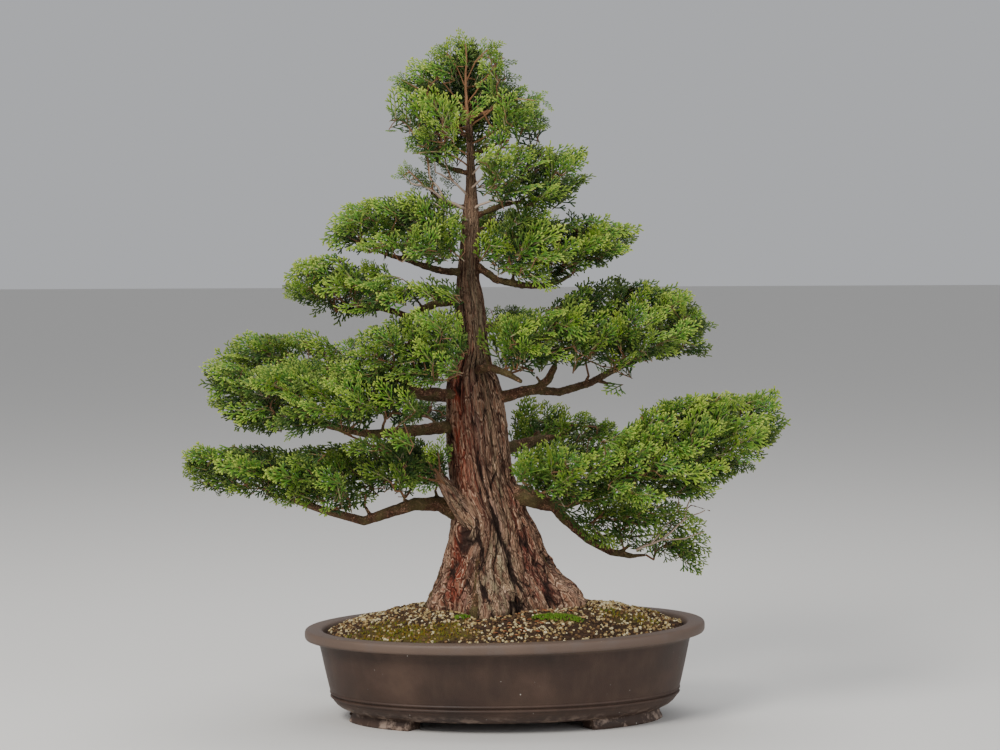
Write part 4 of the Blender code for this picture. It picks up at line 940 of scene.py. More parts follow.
def build_litter(wall):
    """Rusty flakes of shed bark and leaf round the foot of the trunk."""
    chance = random.Random(29)
    flake = np.array(((-1, -0.3, 0), (1, -0.2, 0), (0.9, 0.3, 0), (-0.8, 0.35, 0), (0, 0, 0.35)))
    faces = ((0, 1, 4), (1, 2, 4), (2, 3, 4), (3, 0, 4), (3, 2, 1, 0))
    heap = Heap()
    for _ in range(LITTER_COUNT):
        x, y, height = open_ground(wall, chance)
        if chance.random() < math.hypot((x - 14.0) / 1.5, y + 62.0) / 45.0:
            continue
        points = turned(flake * chance.uniform(1.6, 3.2), chance, 0.5)
        heap.add(points + np.array((x, y, height + 1.0)), faces, chance.random())
    heap.make("dry_litter", LITTER)


# Trunk

def middle_of(heights):
    """X and Y of the trunk's middle line at one height or many."""
    levels, xs, ys = zip(*MIDDLE_LINE)
    return np.interp(heights, levels, xs), np.interp(heights, levels, ys)


def section_shape(turns, height):
    """Reach of the trunk's oval section by turn, for a half width of 1."""
    ratio = float(np.interp(height, *zip(*FLATNESS)))
    return 1.0 / np.sqrt(np.cos(turns) ** 2 + (np.sin(turns) / ratio) ** 2)


def measure_trunk(wall, turns, heights):
    """Reach of the solid wood round its middle line, level by level, without its boughs."""
    reach = np.zeros((len(heights), len(turns)))
    for level, height in enumerate(heights):
        start = Vector((*middle_of(height), height))
        for index, turn in enumerate(turns):
            hit = wall.ray_cast(start, Vector((math.cos(turn), math.sin(turn), 0.0)))
            reach[level, index] = hit[3] if hit[0] else 0.0
        if height > BOUGHS_FROM:
            oval = section_shape(turns, height)
            usual = np.percentile(reach[level] / oval, 30)
            reach[level] = np.minimum(reach[level], usual * oval * COLLAR)
    return reach


def soften(grid, across, along):
    """Blurs a grid that closes on itself sideways: across and along are spreads in cells."""
    for spread, axis in ((across, 1), (along, 0)):
        width = int(spread * 3)
        weights = np.exp(-0.5 * (np.arange(-width, width + 1) / spread) ** 2)
        weights /= weights.sum()
        pad = [(0, 0), (width, width)] if axis else [(width, width), (0, 0)]
        wide = np.pad(grid, pad, mode="wrap" if axis else "edge")
        grid = sum(
            weight * np.take(wide, np.arange(shift, shift + grid.shape[axis]), axis=axis)
            for shift, weight in enumerate(weights)
        )
    return grid


def noise_grid(grain, size, tall, seed):
    """Noise on the trunk's own grain: patches size across and tall high."""
    points = grain / np.array((size, size, tall)) + seed
    values = [noise.noise(Vector(point)) for point in points.reshape(-1, 3)]
    return np.array(values).reshape(grain.shape[:2])


def degrees_off(turns, middle):
    """How far each turn lies from a middle in degrees, from -180 to 180."""
    return (np.degrees(turns)[None] - middle + 180.0) % 360.0 - 180.0


def between(heights, rise, fall):
    """1 from the end of the rise to the start of the fall, 0 outside them, as a column."""
    return (smooth_step(*rise, heights) * (1 - smooth_step(*fall, heights)))[:, None]


def mark_share(turns, heights, mark):
    """1 inside a mark on the trunk, fading to 0 past its edges."""
    middle, spread, low, high = mark
    beside = np.exp(-((degrees_off(turns, middle) / spread) ** 2) * 1.2)
    return beside * between(heights, (low - 12, low + 10), (high - 12, high + 14))


def crack_lines(turns, heights):
    """Depth of the long named splits in the bark."""
    cut = np.zeros((len(heights), len(turns)))
    for low_turn, low, high_turn, high, depth in CRACK_LINES:
        share = np.clip((heights - low) / (high - low), 0.0, 1.0)
        wander = [5.0 * noise.noise(Vector((height / 26.0, low, 0.0))) for height in heights]
        middle = low_turn + (high_turn - low_turn) * share + np.array(wander)
        beside = np.exp(-((degrees_off(turns, middle[:, None]) / CRACK_SPREAD) ** 2))
        cut += depth * beside * between(heights, (low - 10, low + 16), (high - 16, high + 10))
    return cut


def clefts(grain, size, tall, seed, width):
    """1 on flat plates, falling to 0 along sharp winding cracks."""
    return np.clip(np.abs(noise_grid(grain, size, tall, seed)) / width, 0.0, 1.0) ** 0.8


def bark_relief(grain, reach, heights):
    """Height of the bark in millimetres, and painted light: shade in cracks at 0, highlight on
    outer strips at 1.
    """
    wide = clefts(grain, 9.0, 85.0, 3.1, 0.13)
    middling = clefts(grain, 4.6, 32.0, 17.7, 0.15)
    fine = clefts(grain, 2.5, 13.0, 41.2, 0.20)
    strips = smooth_step(-0.02, 0.08, noise_grid(grain, 6.5, 60.0, 57.3))
    flakes = smooth_step(0.0, 0.12, noise_grid(grain, 4.0, 16.0, 71.9))
    swell = noise_grid(grain, 14.0, 60.0, 91.4)
    stout = np.clip(reach / 32.0, 0.3, 1.15)
    low = smooth_step(210.0, 140.0, heights)[:, None]
    height = 1.5 * (wide - 1.0) + (1.0 + 0.4 * low) * (middling - 1.0) + 0.6 * (fine - 1.0)
    height += 1.1 * strips + (0.5 + 0.8 * low) * flakes + 1.6 * swell - 0.6
    cover = 0.42 + 0.34 * strips + (0.24 - 0.1 * low) * flakes
    # Painted light: the bark is made paler toward the top of the trunk, where the crown shades it.
    high = smooth_step(380.0, 520.0, heights)[:, None]
    share = wide * (0.35 + 0.65 * middling) * (0.65 + 0.35 * fine) * cover + 0.34 * high
    return height * stout, share


def knot_places(turns, heights, reach):
    """How far round the trunk each place lies from the knot, and how far in knot radii."""
    turn, height, radius, _ = KNOT
    beside = (turns[None] - math.radians(turn) + math.pi) % (2 * math.pi) - math.pi
    return beside, np.hypot(beside * reach, heights[:, None] - height) / radius


def trunk_grain(turns, heights, reach):
    """Places along the wood, which runs up with a slight sway and flows round the knot."""
    sway_places = rolled(turns[None], 2.0, heights[:, None] / 90.0)
    sway = 0.10 * noise_grid(sway_places, 1.0, 1.0, 5.5)
    beside, away = knot_places(turns, heights, reach)
    round_knot = -1.1 * beside * np.exp(-0.18 * away ** 2)
    twist = (heights[:, None] - 100.0) * 0.0006
    size = GRAIN_REACH + 0.45 * (reach - GRAIN_REACH)
    return rolled(turns[None] + sway + twist + round_knot, size, heights[:, None])


def trunk_skin(turns, heights, reach, grain):
    """Reach of the finished bark, and its painted light, with painted shade in the hollow, knot and
    splits.
    """
    relief, painted_light = bark_relief(grain, reach, heights)
    turn, spread, low, high, depth = HOLLOW
    hollow = mark_share(turns, heights, (turn, spread, low - 10, high))
    _, away = knot_places(turns, heights, reach)
    ring = 2.4 * np.exp(-((away - 1.25) ** 2) * 7.0)
    pit = KNOT[3] * np.exp(-(away ** 2) * 2.4)
    splits = crack_lines(turns, heights)
    roots = sum(rise * mark_share(turns, heights, row) for *row, rise in ROOTS)
    outer = reach + relief + (ring - pit) + roots - depth * hollow - splits
    # Painted shade: darker in the hollow, round the knot and along the splits.
    painted_light = painted_light - 0.4 * hollow - 0.5 * np.exp(-(away ** 2) * 1.6) - 0.22 * splits
    return outer, painted_light


def dress_bark(piece, grain, painted_light, marks):
    """Gives a piece what the trunk's material reads."""
    set_vectors(piece, "grain", grain)
    set_numbers(piece, "painted_light", np.clip(painted_light, 0.0, 1.0))
    set_vectors(piece, "marks", np.broadcast_to(marks, grain.shape))


def build_trunk(wall):
    turns = np.arange(TRUNK_AROUND) * 2 * math.pi / TRUNK_AROUND
    share = np.linspace(0.0, 1.0, TRUNK_LEVELS)
    heights = TRUNK_LOW + (TRUNK_TOP - TRUNK_LOW) * (0.72 * share + 0.28 * share ** 2)
    reach = soften(measure_trunk(wall, turns, heights), 6.0, 2.5)
    grain = trunk_grain(turns, heights, reach)
    outer, painted_light = trunk_skin(turns, heights, reach, grain)
    middles = np.stack([*middle_of(heights), np.zeros(TRUNK_LEVELS)], -1)[:, None]
    points = (middles + rolled(turns, outer, heights[:, None])).reshape(-1, 3)
    faces = tube_faces(TRUNK_LEVELS, TRUNK_AROUND)
    piece = add_piece("trunk", points, faces, TRUNK_BARK, ("wood",), smooth=True)
    marks = [
        sum(mark_share(turns, heights, mark) for mark in group).clip(0, 1)
        for group in (RED_MARKS, RUST_MARKS, PALE_MARKS)
    ]
    dress_bark(piece, grain, painted_light, np.stack(marks, -1))
    return turns, heights, reach


# Boughs and bare forks

def trunk_depth(points, turns, heights, reach):
    """How far outside the trunk's surface each point lies, and the trunk's middle beside it."""
    middles = np.stack(middle_of(points[:, 2]), -1)
    off = points[:, :2] - middles
    turn = np.arctan2(off[:, 1], off[:, 0]) % (2 * math.pi)
    column = np.round(turn / (2 * math.pi) * len(turns)).astype(int) % len(turns)
    row = np.clip(np.searchsorted(heights, points[:, 2]), 0, len(heights) - 1)
    skin = np.where(points[:, 2] > heights[-1], -1.0, reach[row, column])
    return np.linalg.norm(off, axis=1) - skin, middles


def rings_inward(mesh, away):
    """How many edges inside the trunk each corner lies: 0 outside it, BURIED deep inside."""
    edges = np.array([tuple(edge.vertices) for edge in mesh.edges])
    ring = np.where(away > 1.2, 0, BURIED)
    for step in range(1, ROOT_RINGS + 1):
        reached = np.zeros(len(ring), bool)
        inside = ring[edges] < step
        reached[edges[inside[:, 0], 1]] = True
        reached[edges[inside[:, 1], 0]] = True
        ring = np.where(reached & (ring == BURIED), step, ring)
    return ring


def remove_buried(mesh, ring):
    """Takes away what lies deep inside the trunk, and closes the boughs' ends."""
    shape = bmesh.new()
    shape.from_mesh(mesh)
    shape.verts.ensure_lookup_table()
    gone = [shape.verts[index] for index in np.flatnonzero(ring == BURIED)]
    bmesh.ops.delete(shape, geom=gone, context="VERTS")
    bmesh.ops.holes_fill(shape, edges=shape.edges, sides=0)
    shape.to_mesh(mesh)
    shape.free()


def build_boughs(turns, heights, reach):
    """All the wood outside the trunk, remeshed from the solid and rooted inside the trunk."""
    piece = bpy.data.objects.new("boughs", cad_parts["wood"].data.copy())
    bpy.context.scene.collection.objects.link(piece)
    shape = merged_node("wood")
    shape.to_mesh(piece.data)
    shape.free()
    apply_modifier(piece, "REMESH", mode="VOXEL", voxel_size=BOUGH_VOXEL * MM, adaptivity=0.0)
    apply_modifier(piece, "SMOOTH", factor=0.5, iterations=3)
    points = own_points(piece.data)
    away, middles = trunk_depth(points, turns, heights, reach)
    ring = rings_inward(piece.data, away)
    sunk = np.minimum(ring, ROOT_RINGS) * 0.9
    inward = unit_rows(np.c_[middles - points[:, :2], np.zeros(len(points))])
    rough = np.array([noise.fractal(Vector(point / 7.0), 1.0, 2.0, 3) for point in points])
    coarse = np.clip(1.0 - away / 110.0, 0.15, 1.0)
    normals = np.array([vert.normal for vert in piece.data.vertices])
    moved = points + inward * sunk[:, None] + normals * (rough * coarse * 0.9)[:, None]
    move_points(piece.data, moved)
    remove_buried(piece.data, ring)
    apply_modifier(piece, "DECIMATE", ratio=BOUGH_KEEP)
    finish_piece(piece, BOUGH_BARK, ("wood",), smooth=True)
    away, _ = trunk_depth(own_points(piece.data), turns, heights, reach)
    set_numbers(piece, "slim", 0.5 * smooth_step(60.0, 170.0, away))


# Foliage

class Spray:
    """One flat fan of scale-leaved shoots, 1 long, lying along X with its face to +Z."""

    def __init__(self, chance):
        self.points, self.tips, self.woody, self.faces = [], [], [], []
        root, heading = np.zeros(2), chance.uniform(-0.06, 0.06)
        reach, side = 0.0, chance.choice((-1, 1))
        for number, length in enumerate(STEM_STEPS):
            self.shoot(root, heading, length, reach, number < 2)
            for place in (0.25, 0.75):
                side = -side
                start = root + length * place * np.array((math.cos(heading), math.sin(heading)))
                self.side_shoot(start, heading, side, reach + length * place, chance)
            root = root + length * np.array((math.cos(heading), math.sin(heading)))
            reach += length
            heading += chance.uniform(-0.13, 0.13)
        self.points = np.array(self.points)
        self.faces = np.array(self.faces)

    def side_shoot(self, start, heading, side, along, chance):
        """A shoot off the stem, forked like a stag's horn where it is long enough."""
        long = float(np.interp(along, (0.0, 0.12, 0.45, 1.0), (0.34, 0.46, 0.38, 0.14)))
        long *= chance.uniform(0.82, 1.12)
        turn = heading + side * math.radians(chance.uniform(36, 50))
        self.shoot(start, turn, long, along, False)
        if long < 0.22:
            return
        ahead = np.array((math.cos(turn), math.sin(turn)))
        inner = turn - side * math.radians(chance.uniform(30, 42))
        length = long * chance.uniform(0.48, 0.62)
        self.shoot(start + long * 0.46 * ahead, inner, length, along + 0.1, False)
        if chance.random() < 0.62:
            outer = turn + side * math.radians(chance.uniform(28, 42))
            length = long * chance.uniform(0.34, 0.46)
            self.shoot(start + long * 0.6 * ahead, outer, length, along + 0.1, False)

    def shoot(self, root, heading, length, reach, stem):
        """One branchlet: a slender strip with a raised middle and a blunt tip."""
        along = np.array((math.cos(heading), math.sin(heading)))
        across = np.array((-along[1], along[0])) * SHOOT_WIDE / 2
        start = len(self.points)
        end = root + along * length
        foot = across * SHOOT_FOOT
        for place in (root - foot, end - across, end + across, root + foot):
            self.points.append((*place, 0.0))
        ridge = root + along * length * 0.6
        self.points.append((*ridge, SHOOT_WIDE * 0.42))
        self.tips += [0.4 * reach + share for share in (0.0, 0.6, 0.6, 0.0, 0.34)]
        self.woody += [share if stem else 0.0 for share in (0.8, 0.0, 0.0, 0.8, 0.25)]
        for corners in ((0, 1, 4), (1, 2, 4), (2, 3, 4), (3, 0, 4), (0, 3, 2), (0, 2, 1)):
            self.faces.append([start + corner for corner in corners])


def pointed_leaves(node):
    """Foot and point of each pointed leaf on a node, and the node's corners, in millimetres."""
    shape = merged_node(node)
    leaves = []
    for vert in shape.verts:
        if len(vert.link_faces) != 4 or len(vert.link_edges) != 4:
            continue
        foot = sum((edge.other_vert(vert).co for edge in vert.link_edges), Vector()) / 4
        if (vert.co - foot).length > LEAF_LEAST * MM:
            leaves.append((np.array(foot) / MM - MIDDLE, np.array(vert.co) / MM - MIDDLE))
    corners = [np.array(vert.co) / MM - MIDDLE for vert in shape.verts]
    shape.free()
    return leaves, corners


def wood_end(corners, wall):
    """Where a leafy branch grows from the wood."""
    gaps = [wall.find_nearest(Vector(corner))[3] for corner in corners]
    near = np.argsort(gaps)[:4]
    return np.mean([corners[index] for index in near], axis=0)


def facing(heading, chance, front):
    """A spray's face: toward the front and up, square to the way it grows."""
    across, ahead, up = chance.gauss(0, 0.32), chance.gauss(0, 0.26), chance.gauss(0, 0.2)
    return squared(np.array((across, ahead - front, up + 0.62)), heading)


def spray_rows(leaves, chance):
    """Where a node's sprays start, which way they run and face, and how long they are."""
    rows = []
    for foot, point in leaves:
        along = unit_rows(point - foot)
        leaf = np.linalg.norm(point - foot)
        for turn, low, high, usual in SPRAY_TURNS:
            if chance.random() > usual:
                continue
            side = np.cross(facing(along, chance, 0.8), along)
            angle = math.radians(turn * chance.choice((-1.0, 1.0)) + chance.gauss(0, 7))
            heading = along * math.cos(angle) + side * math.sin(angle)
            heading = unit_rows(heading + np.array((0.0, 0.0, chance.gauss(0.02, 0.10))))
            length = chance.uniform(low, high) * (0.7 * leaf + 19.0)
            reach = leaf - 1.0 if turn == 0 else 0.8 * leaf
            start = foot + heading * (reach - length)
            rows.append((start, heading, facing(heading, chance, 0.9), length))
    return rows


# Front view: what the camera sees, in picture points

def camera_axes():
    """The camera's place and its right, up and forward directions, from the pot's middle."""
    turn, down, roll = (math.radians(value) for value in (LOOK_TURN, LOOK_DOWN, LOOK_ROLL))
    right = np.array((math.cos(turn), -math.sin(turn), 0.0))
    level = math.cos(down)
    ahead = np.array((math.sin(turn) * level, math.cos(turn) * level, -math.sin(down)))
    up = np.cross(right, ahead)
    across = right * math.cos(roll) - up * math.sin(roll)
    above = right * math.sin(roll) + up * math.cos(roll)
    place = np.array((
        EYE_SIDE * math.cos(turn) - EYE_AWAY * math.sin(turn),
        -EYE_SIDE * math.sin(turn) - EYE_AWAY * math.cos(turn), EYE_HEIGHT,
    ))
    return place, across, above, ahead


def seen(points):
    """Picture points (across from the left edge, down from the top) of points in millimetres."""
    place, across, above, ahead = camera_axes()
    off = np.asarray(points) - place
    away = off @ ahead
    aside = PICTURE_MIDDLE[0] + FOCUS * (off @ across) / away
    below = PICTURE_MIDDLE[1] - FOCUS * (off @ above) / away
    return np.stack([aside, below], -1)


def unseen(spot, depth):
    """The place at a depth (Y) that the camera sees at a picture point."""
    place, across, above, ahead = camera_axes()
    aside, rise = spot[0] - PICTURE_MIDDLE[0], PICTURE_MIDDLE[1] - spot[1]
    ray = ahead + across * aside / FOCUS + above * rise / FOCUS
    return place + ray * (depth - place[1]) / ray[1]


def inside_outline(spots, outline):
    """True for each spot inside a closed outline."""
    within = np.zeros(len(spots), bool)
    for (x0, y0), (x1, y1) in zip(outline, outline[1:] + outline[:1]):
        if y0 == y1:
            continue
        spans = (spots[:, 1] < y0) != (spots[:, 1] < y1)
        cross = x0 + (spots[:, 1] - y0) * (x1 - x0) / (y1 - y0)
        within ^= spans & (spots[:, 0] < cross)
    return within


def pad_at(spot, slack):
    """The pad that holds a spot once it is drawn a little toward that pad's middle."""
    for pad in PADS:
        middle = np.mean(pad[0], axis=0)
        off = spot - middle
        nearer = middle + off * max(0.0, 1.0 - slack / max(np.hypot(*off), 1.0))
        if inside_outline(nearer[None], pad[0])[0]:
            return pad
    return None


def spreading(spot, heart):
    """The way a pad spreads at a spot, in millimetres of the front view."""
    if heart is None:
        heart = (STEM_ACROSS, spot[1] + 0.75 * abs(spot[0] - STEM_ACROSS) + 12.0)
    return unit_rows(unseen(spot, 0.0) - unseen(heart, 0.0))


def behind_stem(foot, end, chance):
    """The foot of a spray, moved back behind the crown's stem where most would cover it."""
    high, low, half, share = STEM_SHOWS
    (first, top), (last, bottom) = seen(foot), seen(end)
    crosses = min(first, last) - half < STEM_ACROSS < max(first, last) + half
    nearest = min(foot[1], end[1])
    hides = nearest <= STEM_DEPTH and crosses and high < (top + bottom) / 2 < low
    if not hides or chance.random() > share:
        return foot
    return foot + np.array((0.0, STEM_DEPTH + 4.0 - nearest, 0.0))


def trim_sprays(rows, chance):
    """Combs the sprays the way their pad spreads, and shortens or drops those that stick out."""
    for node, sprays in rows.items():
        kept, rear = [], "back" in node and "crown" not in node
        for foot, heading, face, length in sprays:
            pad = pad_at(seen(foot + heading * length * 0.6), 8.0)
            if pad:
                end = foot + heading * length
                spread = spreading(seen(end), pad[1])
                heading = unit_rows(heading * (1.0 - COMBED) + spread * COMBED)
                face = squared(face, heading)
                foot = end - heading * length
            foot = behind_stem(foot, foot + heading * length, chance)
            slack = chance.uniform(*PAD_SLACK)
            for share in (1.0, 0.84, 0.7):
                if pad_at(seen(foot + heading * length * share), slack):
                    kept.append((foot, heading, face, length * share))
                    break
            else:
                if rear or chance.random() < 0.25:
                    kept.append((foot, heading, face, length * 0.62))
        rows[node] = kept or sprays[:1]


def ranked_sprays(rows, lines, size, bare, chance):
    """Adds two ranks of sprays about size long along the drawn twigs with a bare foot."""
    for near, far, _, line in lines:
        places = hand_drawn(line, near, far, 9.0)
        for index in range(1, len(places)):
            along = unit_rows(places[index] - places[index - 1])
            for side in (-1.0, 1.0):
                if index < bare and far > 5 or chance.random() < 0.12:
                    continue
                face = facing(along, chance, 1.1)
                across = np.cross(face, along) * side
                angle = math.radians(chance.uniform(26, 44))
                heading = along * math.cos(angle) + across * math.sin(angle)
                length = size * chance.uniform(0.84, 1.16) * (1.15 - 0.5 * index / len(places))
                foot = behind_stem(places[index], places[index] + heading * length, chance)
                rows.append((foot, heading, facing(heading, chance, 1.1), length))
        along = unit_rows(places[-1] - places[-2])
        foot = places[-1] - along * size * 0.6
        rows.append((foot, along, facing(along, chance, 1.1), size * 0.9))


def fill_pads(rows, chance):
    """Adds sprays where a pad's outline, as seen from the front, is still thin."""
    owners = [node for node in rows for _ in rows[node]]
    feet = np.array([row[0] for node in rows for row in rows[node]])
    middles = np.array([
        foot + heading * length * 0.55 for node in rows for foot, heading, _, length in rows[node]
    ])
    spots, foot_spots = seen(middles), seen(feet)
    for outline, heart, wanted in PADS:
        low, high = np.min(outline, axis=0), np.max(outline, axis=0)
        tries = np.array([
            (chance.uniform(low[0], high[0]), chance.uniform(low[1], high[1]))
            for _ in range(int((high[0] - low[0]) * (high[1] - low[1]) / 14.0))
        ])
        for spot in tries[inside_outline(tries, outline)]:
            crowd = (np.hypot(*(spots - spot).T) < FILL_NEAR).sum()
            if crowd >= wanted:
                continue
            order = np.argsort(np.hypot(*((foot_spots - spot) * (1.0, 1.5)).T))[:6]
            pick = order[chance.randrange(6)]
            depth = feet[pick][1] - chance.uniform(0.0, 14.0)
            heading = 0.85 * spreading(spot, heart) + np.array((
                chance.gauss(0, 0.3), chance.gauss(-0.2, 0.25), chance.gauss(-0.06, 0.22)
            ))
            heading = unit_rows(heading)
            length = chance.uniform(24.0, 33.0)
            foot = unseen(spot, depth) - heading * length * 0.55
            foot = behind_stem(foot, foot + heading * length, chance)
            rows[owners[pick]].append((foot, heading, facing(heading, chance, 0.9), length))
            spots = np.vstack([spots, spot])


# Twigs

def hand_drawn(line, near, far, step):
    """Places every step millimetres along picture points, near to far in front of the stem."""
    count = len(line) - 1
    corners = [
        unseen(spot, STEM_DEPTH - near - (far - near) * index / count)
        for index, spot in enumerate(line)
    ]
    places = []
    for start, end in zip(corners, corners[1:]):
        count = max(1, round(float(np.linalg.norm(end - start)) / step))
        places += [start + (end - start) * share / count for share in range(count)]
    return places + [corners[-1]]


def tube(places, radii, sides):
    """A closed tube through places: points, faces."""
    points = []
    for index, (place, radius) in enumerate(zip(places, radii)):
        before, after = places[max(index - 1, 0)], places[min(index + 1, len(places) - 1)]
        along = unit_rows(after - before)
        side = unit_rows(np.cross(along, (0.3, 0.9, 0.31)))
        other = np.cross(along, side)
        for step in range(sides):
            turn = 2 * math.pi * step / sides
            points.append(place + (side * math.cos(turn) + other * math.sin(turn)) * radius)
    return points, tube_faces(len(places), sides)


def hand_twigs(heap, lines):
    """Adds the drawn twigs, each a little crooked and tapered to its tip."""
    for near, far, radius, line in lines:
        places = hand_drawn(line, near, far, 6.0)
        crooked = [
            place + np.array(noise.noise_vector(Vector(place / 13.0))) * min(1.6, index)
            for index, place in enumerate(places)
        ]
        radii = np.linspace(radius, 0.55, len(places))
        heap.add(*tube(crooked, radii, TWIG_SIDES))


def build_bare_twigs():
    twigs = Heap()
    hand_twigs(twigs, BARE_TWIGS)
    piece = add_piece("bare_twigs", twigs.points, twigs.faces, LEAF, smooth=True)
    set_vectors(piece, "leaf", np.tile((0.2, 0.95, 0.5), (len(twigs.points), 1)))
    set_numbers(piece, "woody", np.ones(len(twigs.points)))


def build_left_limb():
    """The stout limb that leaves the trunk at its knot."""
    near, far, radii, line = LEFT_LIMB
    places = hand_drawn(line, near, far, LIMB_STEP)
    count = len(places)
    stout = np.interp(np.linspace(0.0, 1.0, count), np.linspace(0.0, 1.0, len(radii)), radii)
    made, faces = tube(places, stout, LIMB_AROUND)
    points = np.array(made)
    out = unit_rows(points - np.repeat(np.array(places), LIMB_AROUND, axis=0))
    turns = np.arange(LIMB_AROUND) * 2 * math.pi / LIMB_AROUND
    size = np.repeat(stout, LIMB_AROUND).reshape(count, LIMB_AROUND)
    grain = rolled(turns, size, np.arange(count)[:, None] * LIMB_STEP)
    reach, height = LIMB_BARK
    relief, painted_light = bark_relief(grain, np.full(size.shape, reach), np.full(count, height))
    points = points + out * relief.reshape(-1, 1)
    piece = add_piece("left_limb", points, faces, TRUNK_BARK, smooth=True)
    dress_bark(piece, grain, painted_light, LIMB_MARKS)


def join_up(root, feet):
    """The shortest tree of twigs from the root through all feet: each foot's parent."""
    places = np.vstack([root, feet])
    parent = np.zeros(len(places), int)
    gap = np.linalg.norm(places - root, axis=1) + 8.0
    gap[0] = np.inf
    free = np.ones(len(places), bool)
    free[0] = False
    order = []
    while free.any():
        pick = int(np.argmin(np.where(free, gap, np.inf)))
        free[pick] = False
        order.append(pick)
        off = np.linalg.norm(places - places[pick], axis=1)
        closer = free & (off < gap)
        gap[closer] = off[closer]
        parent[closer] = pick
    return places, parent, order


def grow_twigs(root, feet):
    """Tapered twigs through all feet, thicker the more they carry, in a heap."""
    places, parent, order = join_up(root, feet)
    load = np.ones(len(places))
    for pick in reversed(order):
        load[parent[pick]] += load[pick]
    eased = places.copy()
    for pick in order:
        if parent[pick]:
            eased[pick] = places[pick] * 0.6 + places[parent[pick]] * 0.4
    eased[order[-1]] = places[order[-1]]
    stout = np.minimum(0.34 + 0.12 * np.sqrt(load), 2.4)
    heap = Heap()
    for pick in order:
        start, end = eased[parent[pick]], eased[pick]
        length = np.linalg.norm(end - start)
        if length >= 0.6:
            lap = (end - start) / length * 0.4
            radii = (stout[pick] * 1.08, stout[pick])
            heap.add(*tube((start - lap, end + lap), radii, TWIG_SIDES))
    return heap


def light_shares(middles):
    """How much daylight reaches each spray, from how many others shade it along each way."""
    light = np.ones(len(middles))
    for toward, reach, strength in LIGHT_WAYS:
        toward = unit_rows(np.array(toward))
        for index, middle in enumerate(middles):
            off = middles - middle
            along = off @ toward
            beside = np.linalg.norm(off - along[:, None] * toward, axis=1)
            near = beside < SHADE_HALF
            shading = (along > SHADE_NEAR) & (along < reach) & near
            open_side = (along < -SHADE_NEAR) & (along > -reach) & near
            light[index] *= math.exp(-strength * min(shading.sum(), open_side.sum() + OPEN_SHADE))
    return light


def place_sprays(rows, shapes, chance, light):
    """All sprays of one node as points, faces and leaf values, kept inside the solids' own box."""
    points, faces, leaf, woody, count = [], [], [], [], 0
    for (foot, heading, face, length), share in zip(rows, light):
        shape = chance.choice(shapes)
        side = np.cross(face, heading) * chance.choice((-1.0, 1.0))
        droop, curl = chance.uniform(-0.02, 0.30), chance.uniform(0.0, 0.35)
        x, y, z = shape.points.T
        rise = z - droop * x * x - curl * y * y
        made = (x[:, None] * heading + y[:, None] * side + rise[:, None] * face) * length
        room = np.where(made > 0, BOX_HIGH - MIDDLE - foot - 0.4, foot + MIDDLE - BOX_LOW - 0.4)
        fit = min(1.0, float((np.maximum(room, 0.1) / np.maximum(np.abs(made), 1e-6)).min()))
        points.append(foot + made * fit)
        mirrored = np.dot(np.cross(heading, side), face) < 0
        faces.append((shape.faces[:, ::-1] if mirrored else shape.faces) + count)
        count += len(x)
        lively = chance.random()
        leaf.append(np.stack([shape.tips, np.full(len(x), lively), np.full(len(x), share)], -1))
        woody.append(shape.woody)
    return [np.concatenate(parts) for parts in (points, faces, leaf, woody)]


def build_foliage(wood_wall):
    """Twigs with their sprays for each leafy node."""
    chance = random.Random(23)
    shapes = [Spray(chance) for _ in range(SPRAY_SHAPES)]
    nodes = sorted(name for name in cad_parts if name.startswith("leafy_"))
    roots, rows = {}, {}
    for node in nodes:
        leaves, corners = pointed_leaves(node)
        roots[node] = wood_end(corners, wood_wall)
        rows[node] = spray_rows(leaves, chance)
    trim_sprays(rows, chance)
    ranked_sprays(rows[CROWN_NODE], CROWN_TWIGS, 23.0, 3, chance)
    ranked_sprays(rows[CROWN_NODE], BARE_TWIGS[:4], 15.0, 2, chance)
    ranked_sprays(rows[LIMB_NODE], LIMB_TWIGS, 24.0, 0, chance)
    fill_pads(rows, chance)
    middles = np.array([
        foot + heading * length / 2 for node in nodes for foot, heading, _, length in rows[node]
    ])
    light = light_shares(middles)
    start = 0
    for node in nodes:
        share = light[start:start + len(rows[node])]
        start += len(rows[node])
        twigs = grow_twigs(roots[node], np.array([row[0] for row in rows[node]]))
        if node in (CROWN_NODE, LIMB_NODE):
            hand_twigs(twigs, CROWN_TWIGS if node == CROWN_NODE else LIMB_TWIGS)
        build_branch(node, twigs, place_sprays(rows[node], shapes, chance, share))


def build_branch(node, twigs, sprays):
    points, faces, leaf, woody = sprays
    count = len(twigs.points)
    name = node.replace("leafy_", "branch_")
    placed = np.concatenate([twigs.points, points])
    joined = twigs.faces + (faces + count).tolist()
    piece = add_piece(name, placed, joined, LEAF, (node,))
    values = np.array((0.2, 0.45 if node == CROWN_NODE else 0.2, 0.4))
    set_vectors(piece, "leaf", np.concatenate([np.tile(values, (count, 1)), leaf]))
    set_numbers(piece, "woody", np.concatenate([np.ones(count), woody]))


# Floor, light and camera

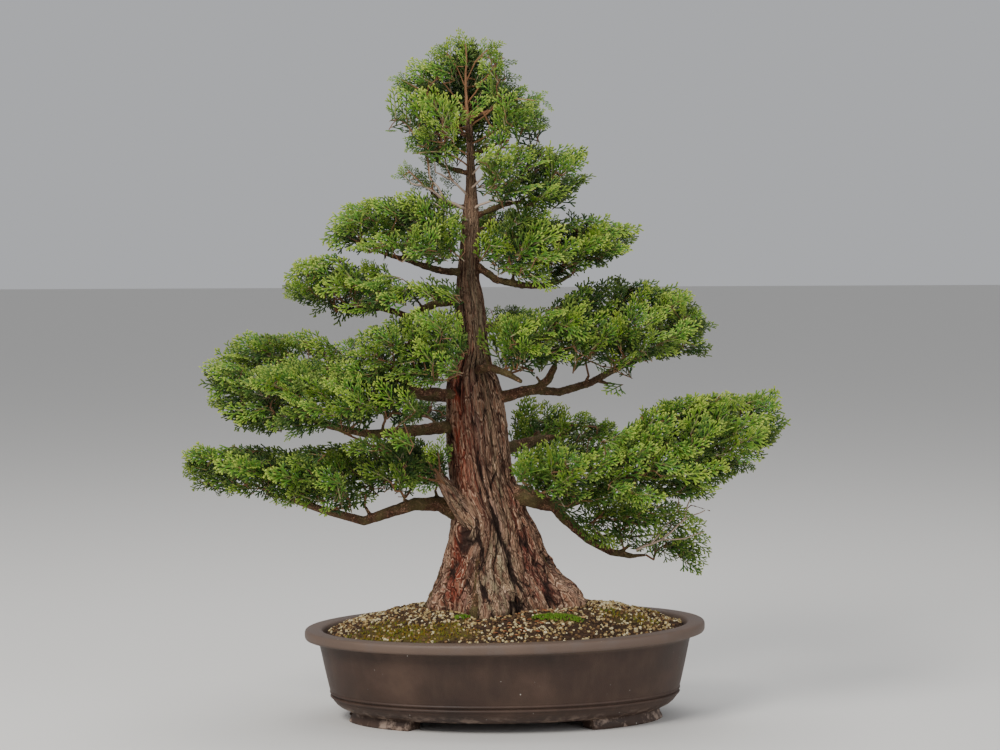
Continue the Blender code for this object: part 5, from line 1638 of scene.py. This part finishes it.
def area_light(name, place, target, size, power, tint):
    data = bpy.data.lights.new(name, "AREA")
    data.shape, data.size, data.energy, data.color = "SQUARE", size, power, tint
    lamp = bpy.data.objects.new(name, data)
    lamp.location = Vector(place)
    lamp.rotation_euler = (Vector(target) - Vector(place)).to_track_quat("-Z", "Y").to_euler()
    bpy.context.scene.collection.objects.link(lamp)


def build_stage():
    bpy.ops.mesh.primitive_plane_add(size=60.0, location=(0, 0, 0))
    floor = bpy.context.object
    floor.name = "floor"
    paint = Paint("pale floor", 0.8, 0.2, srgb(214, 212, 208))
    floor.data.materials.append(paint.finish())
    target = (float(MIDDLE[0]) * MM, float(MIDDLE[1]) * MM, 0.33)
    area_light("key", (-1.3, -1.9, 2.1), target, 1.0, 76.0, (1.0, 0.975, 0.94))
    area_light("fill", (1.9, -1.7, 1.1), target, 1.6, 18.0, (0.93, 0.96, 1.0))
    area_light("top", (0.1, 0.3, 2.4), target, 1.6, 26.0, (1.0, 1.0, 1.0))
    world = bpy.data.worlds.new("room")
    bpy.context.scene.world = world
    world.use_nodes = True
    back = world.node_tree.nodes["Background"]
    back.inputs["Color"].default_value = srgb(226, 228, 232)
    back.inputs["Strength"].default_value = 0.62


def add_camera():
    """Looks as the photograph's camera did: turned, tipped down and rolled a little."""
    place, across, above, ahead = (Vector(row) for row in camera_axes())
    data = bpy.data.cameras.new("camera")
    data.lens, data.sensor_width, data.clip_end = LENS, SENSOR, 20.0
    camera = bpy.data.objects.new("camera", data)
    turned_by = Matrix([tuple(row) for row in zip(across, above, -ahead)]).to_4x4()
    camera.matrix_world = Matrix.Translation((place + Vector(MIDDLE)) * MM) @ turned_by
    bpy.context.scene.collection.objects.link(camera)
    bpy.context.scene.camera = camera


build_pot()
soil_wall = wall_of("soil")
build_soil(soil_wall)
build_grit(soil_wall)
build_moss(soil_wall)
build_litter(soil_wall)
wood_wall = wall_of("wood")
build_boughs(*build_trunk(wood_wall))
build_foliage(wood_wall)
build_bare_twigs()
build_left_limb()
build_stage()
add_camera()
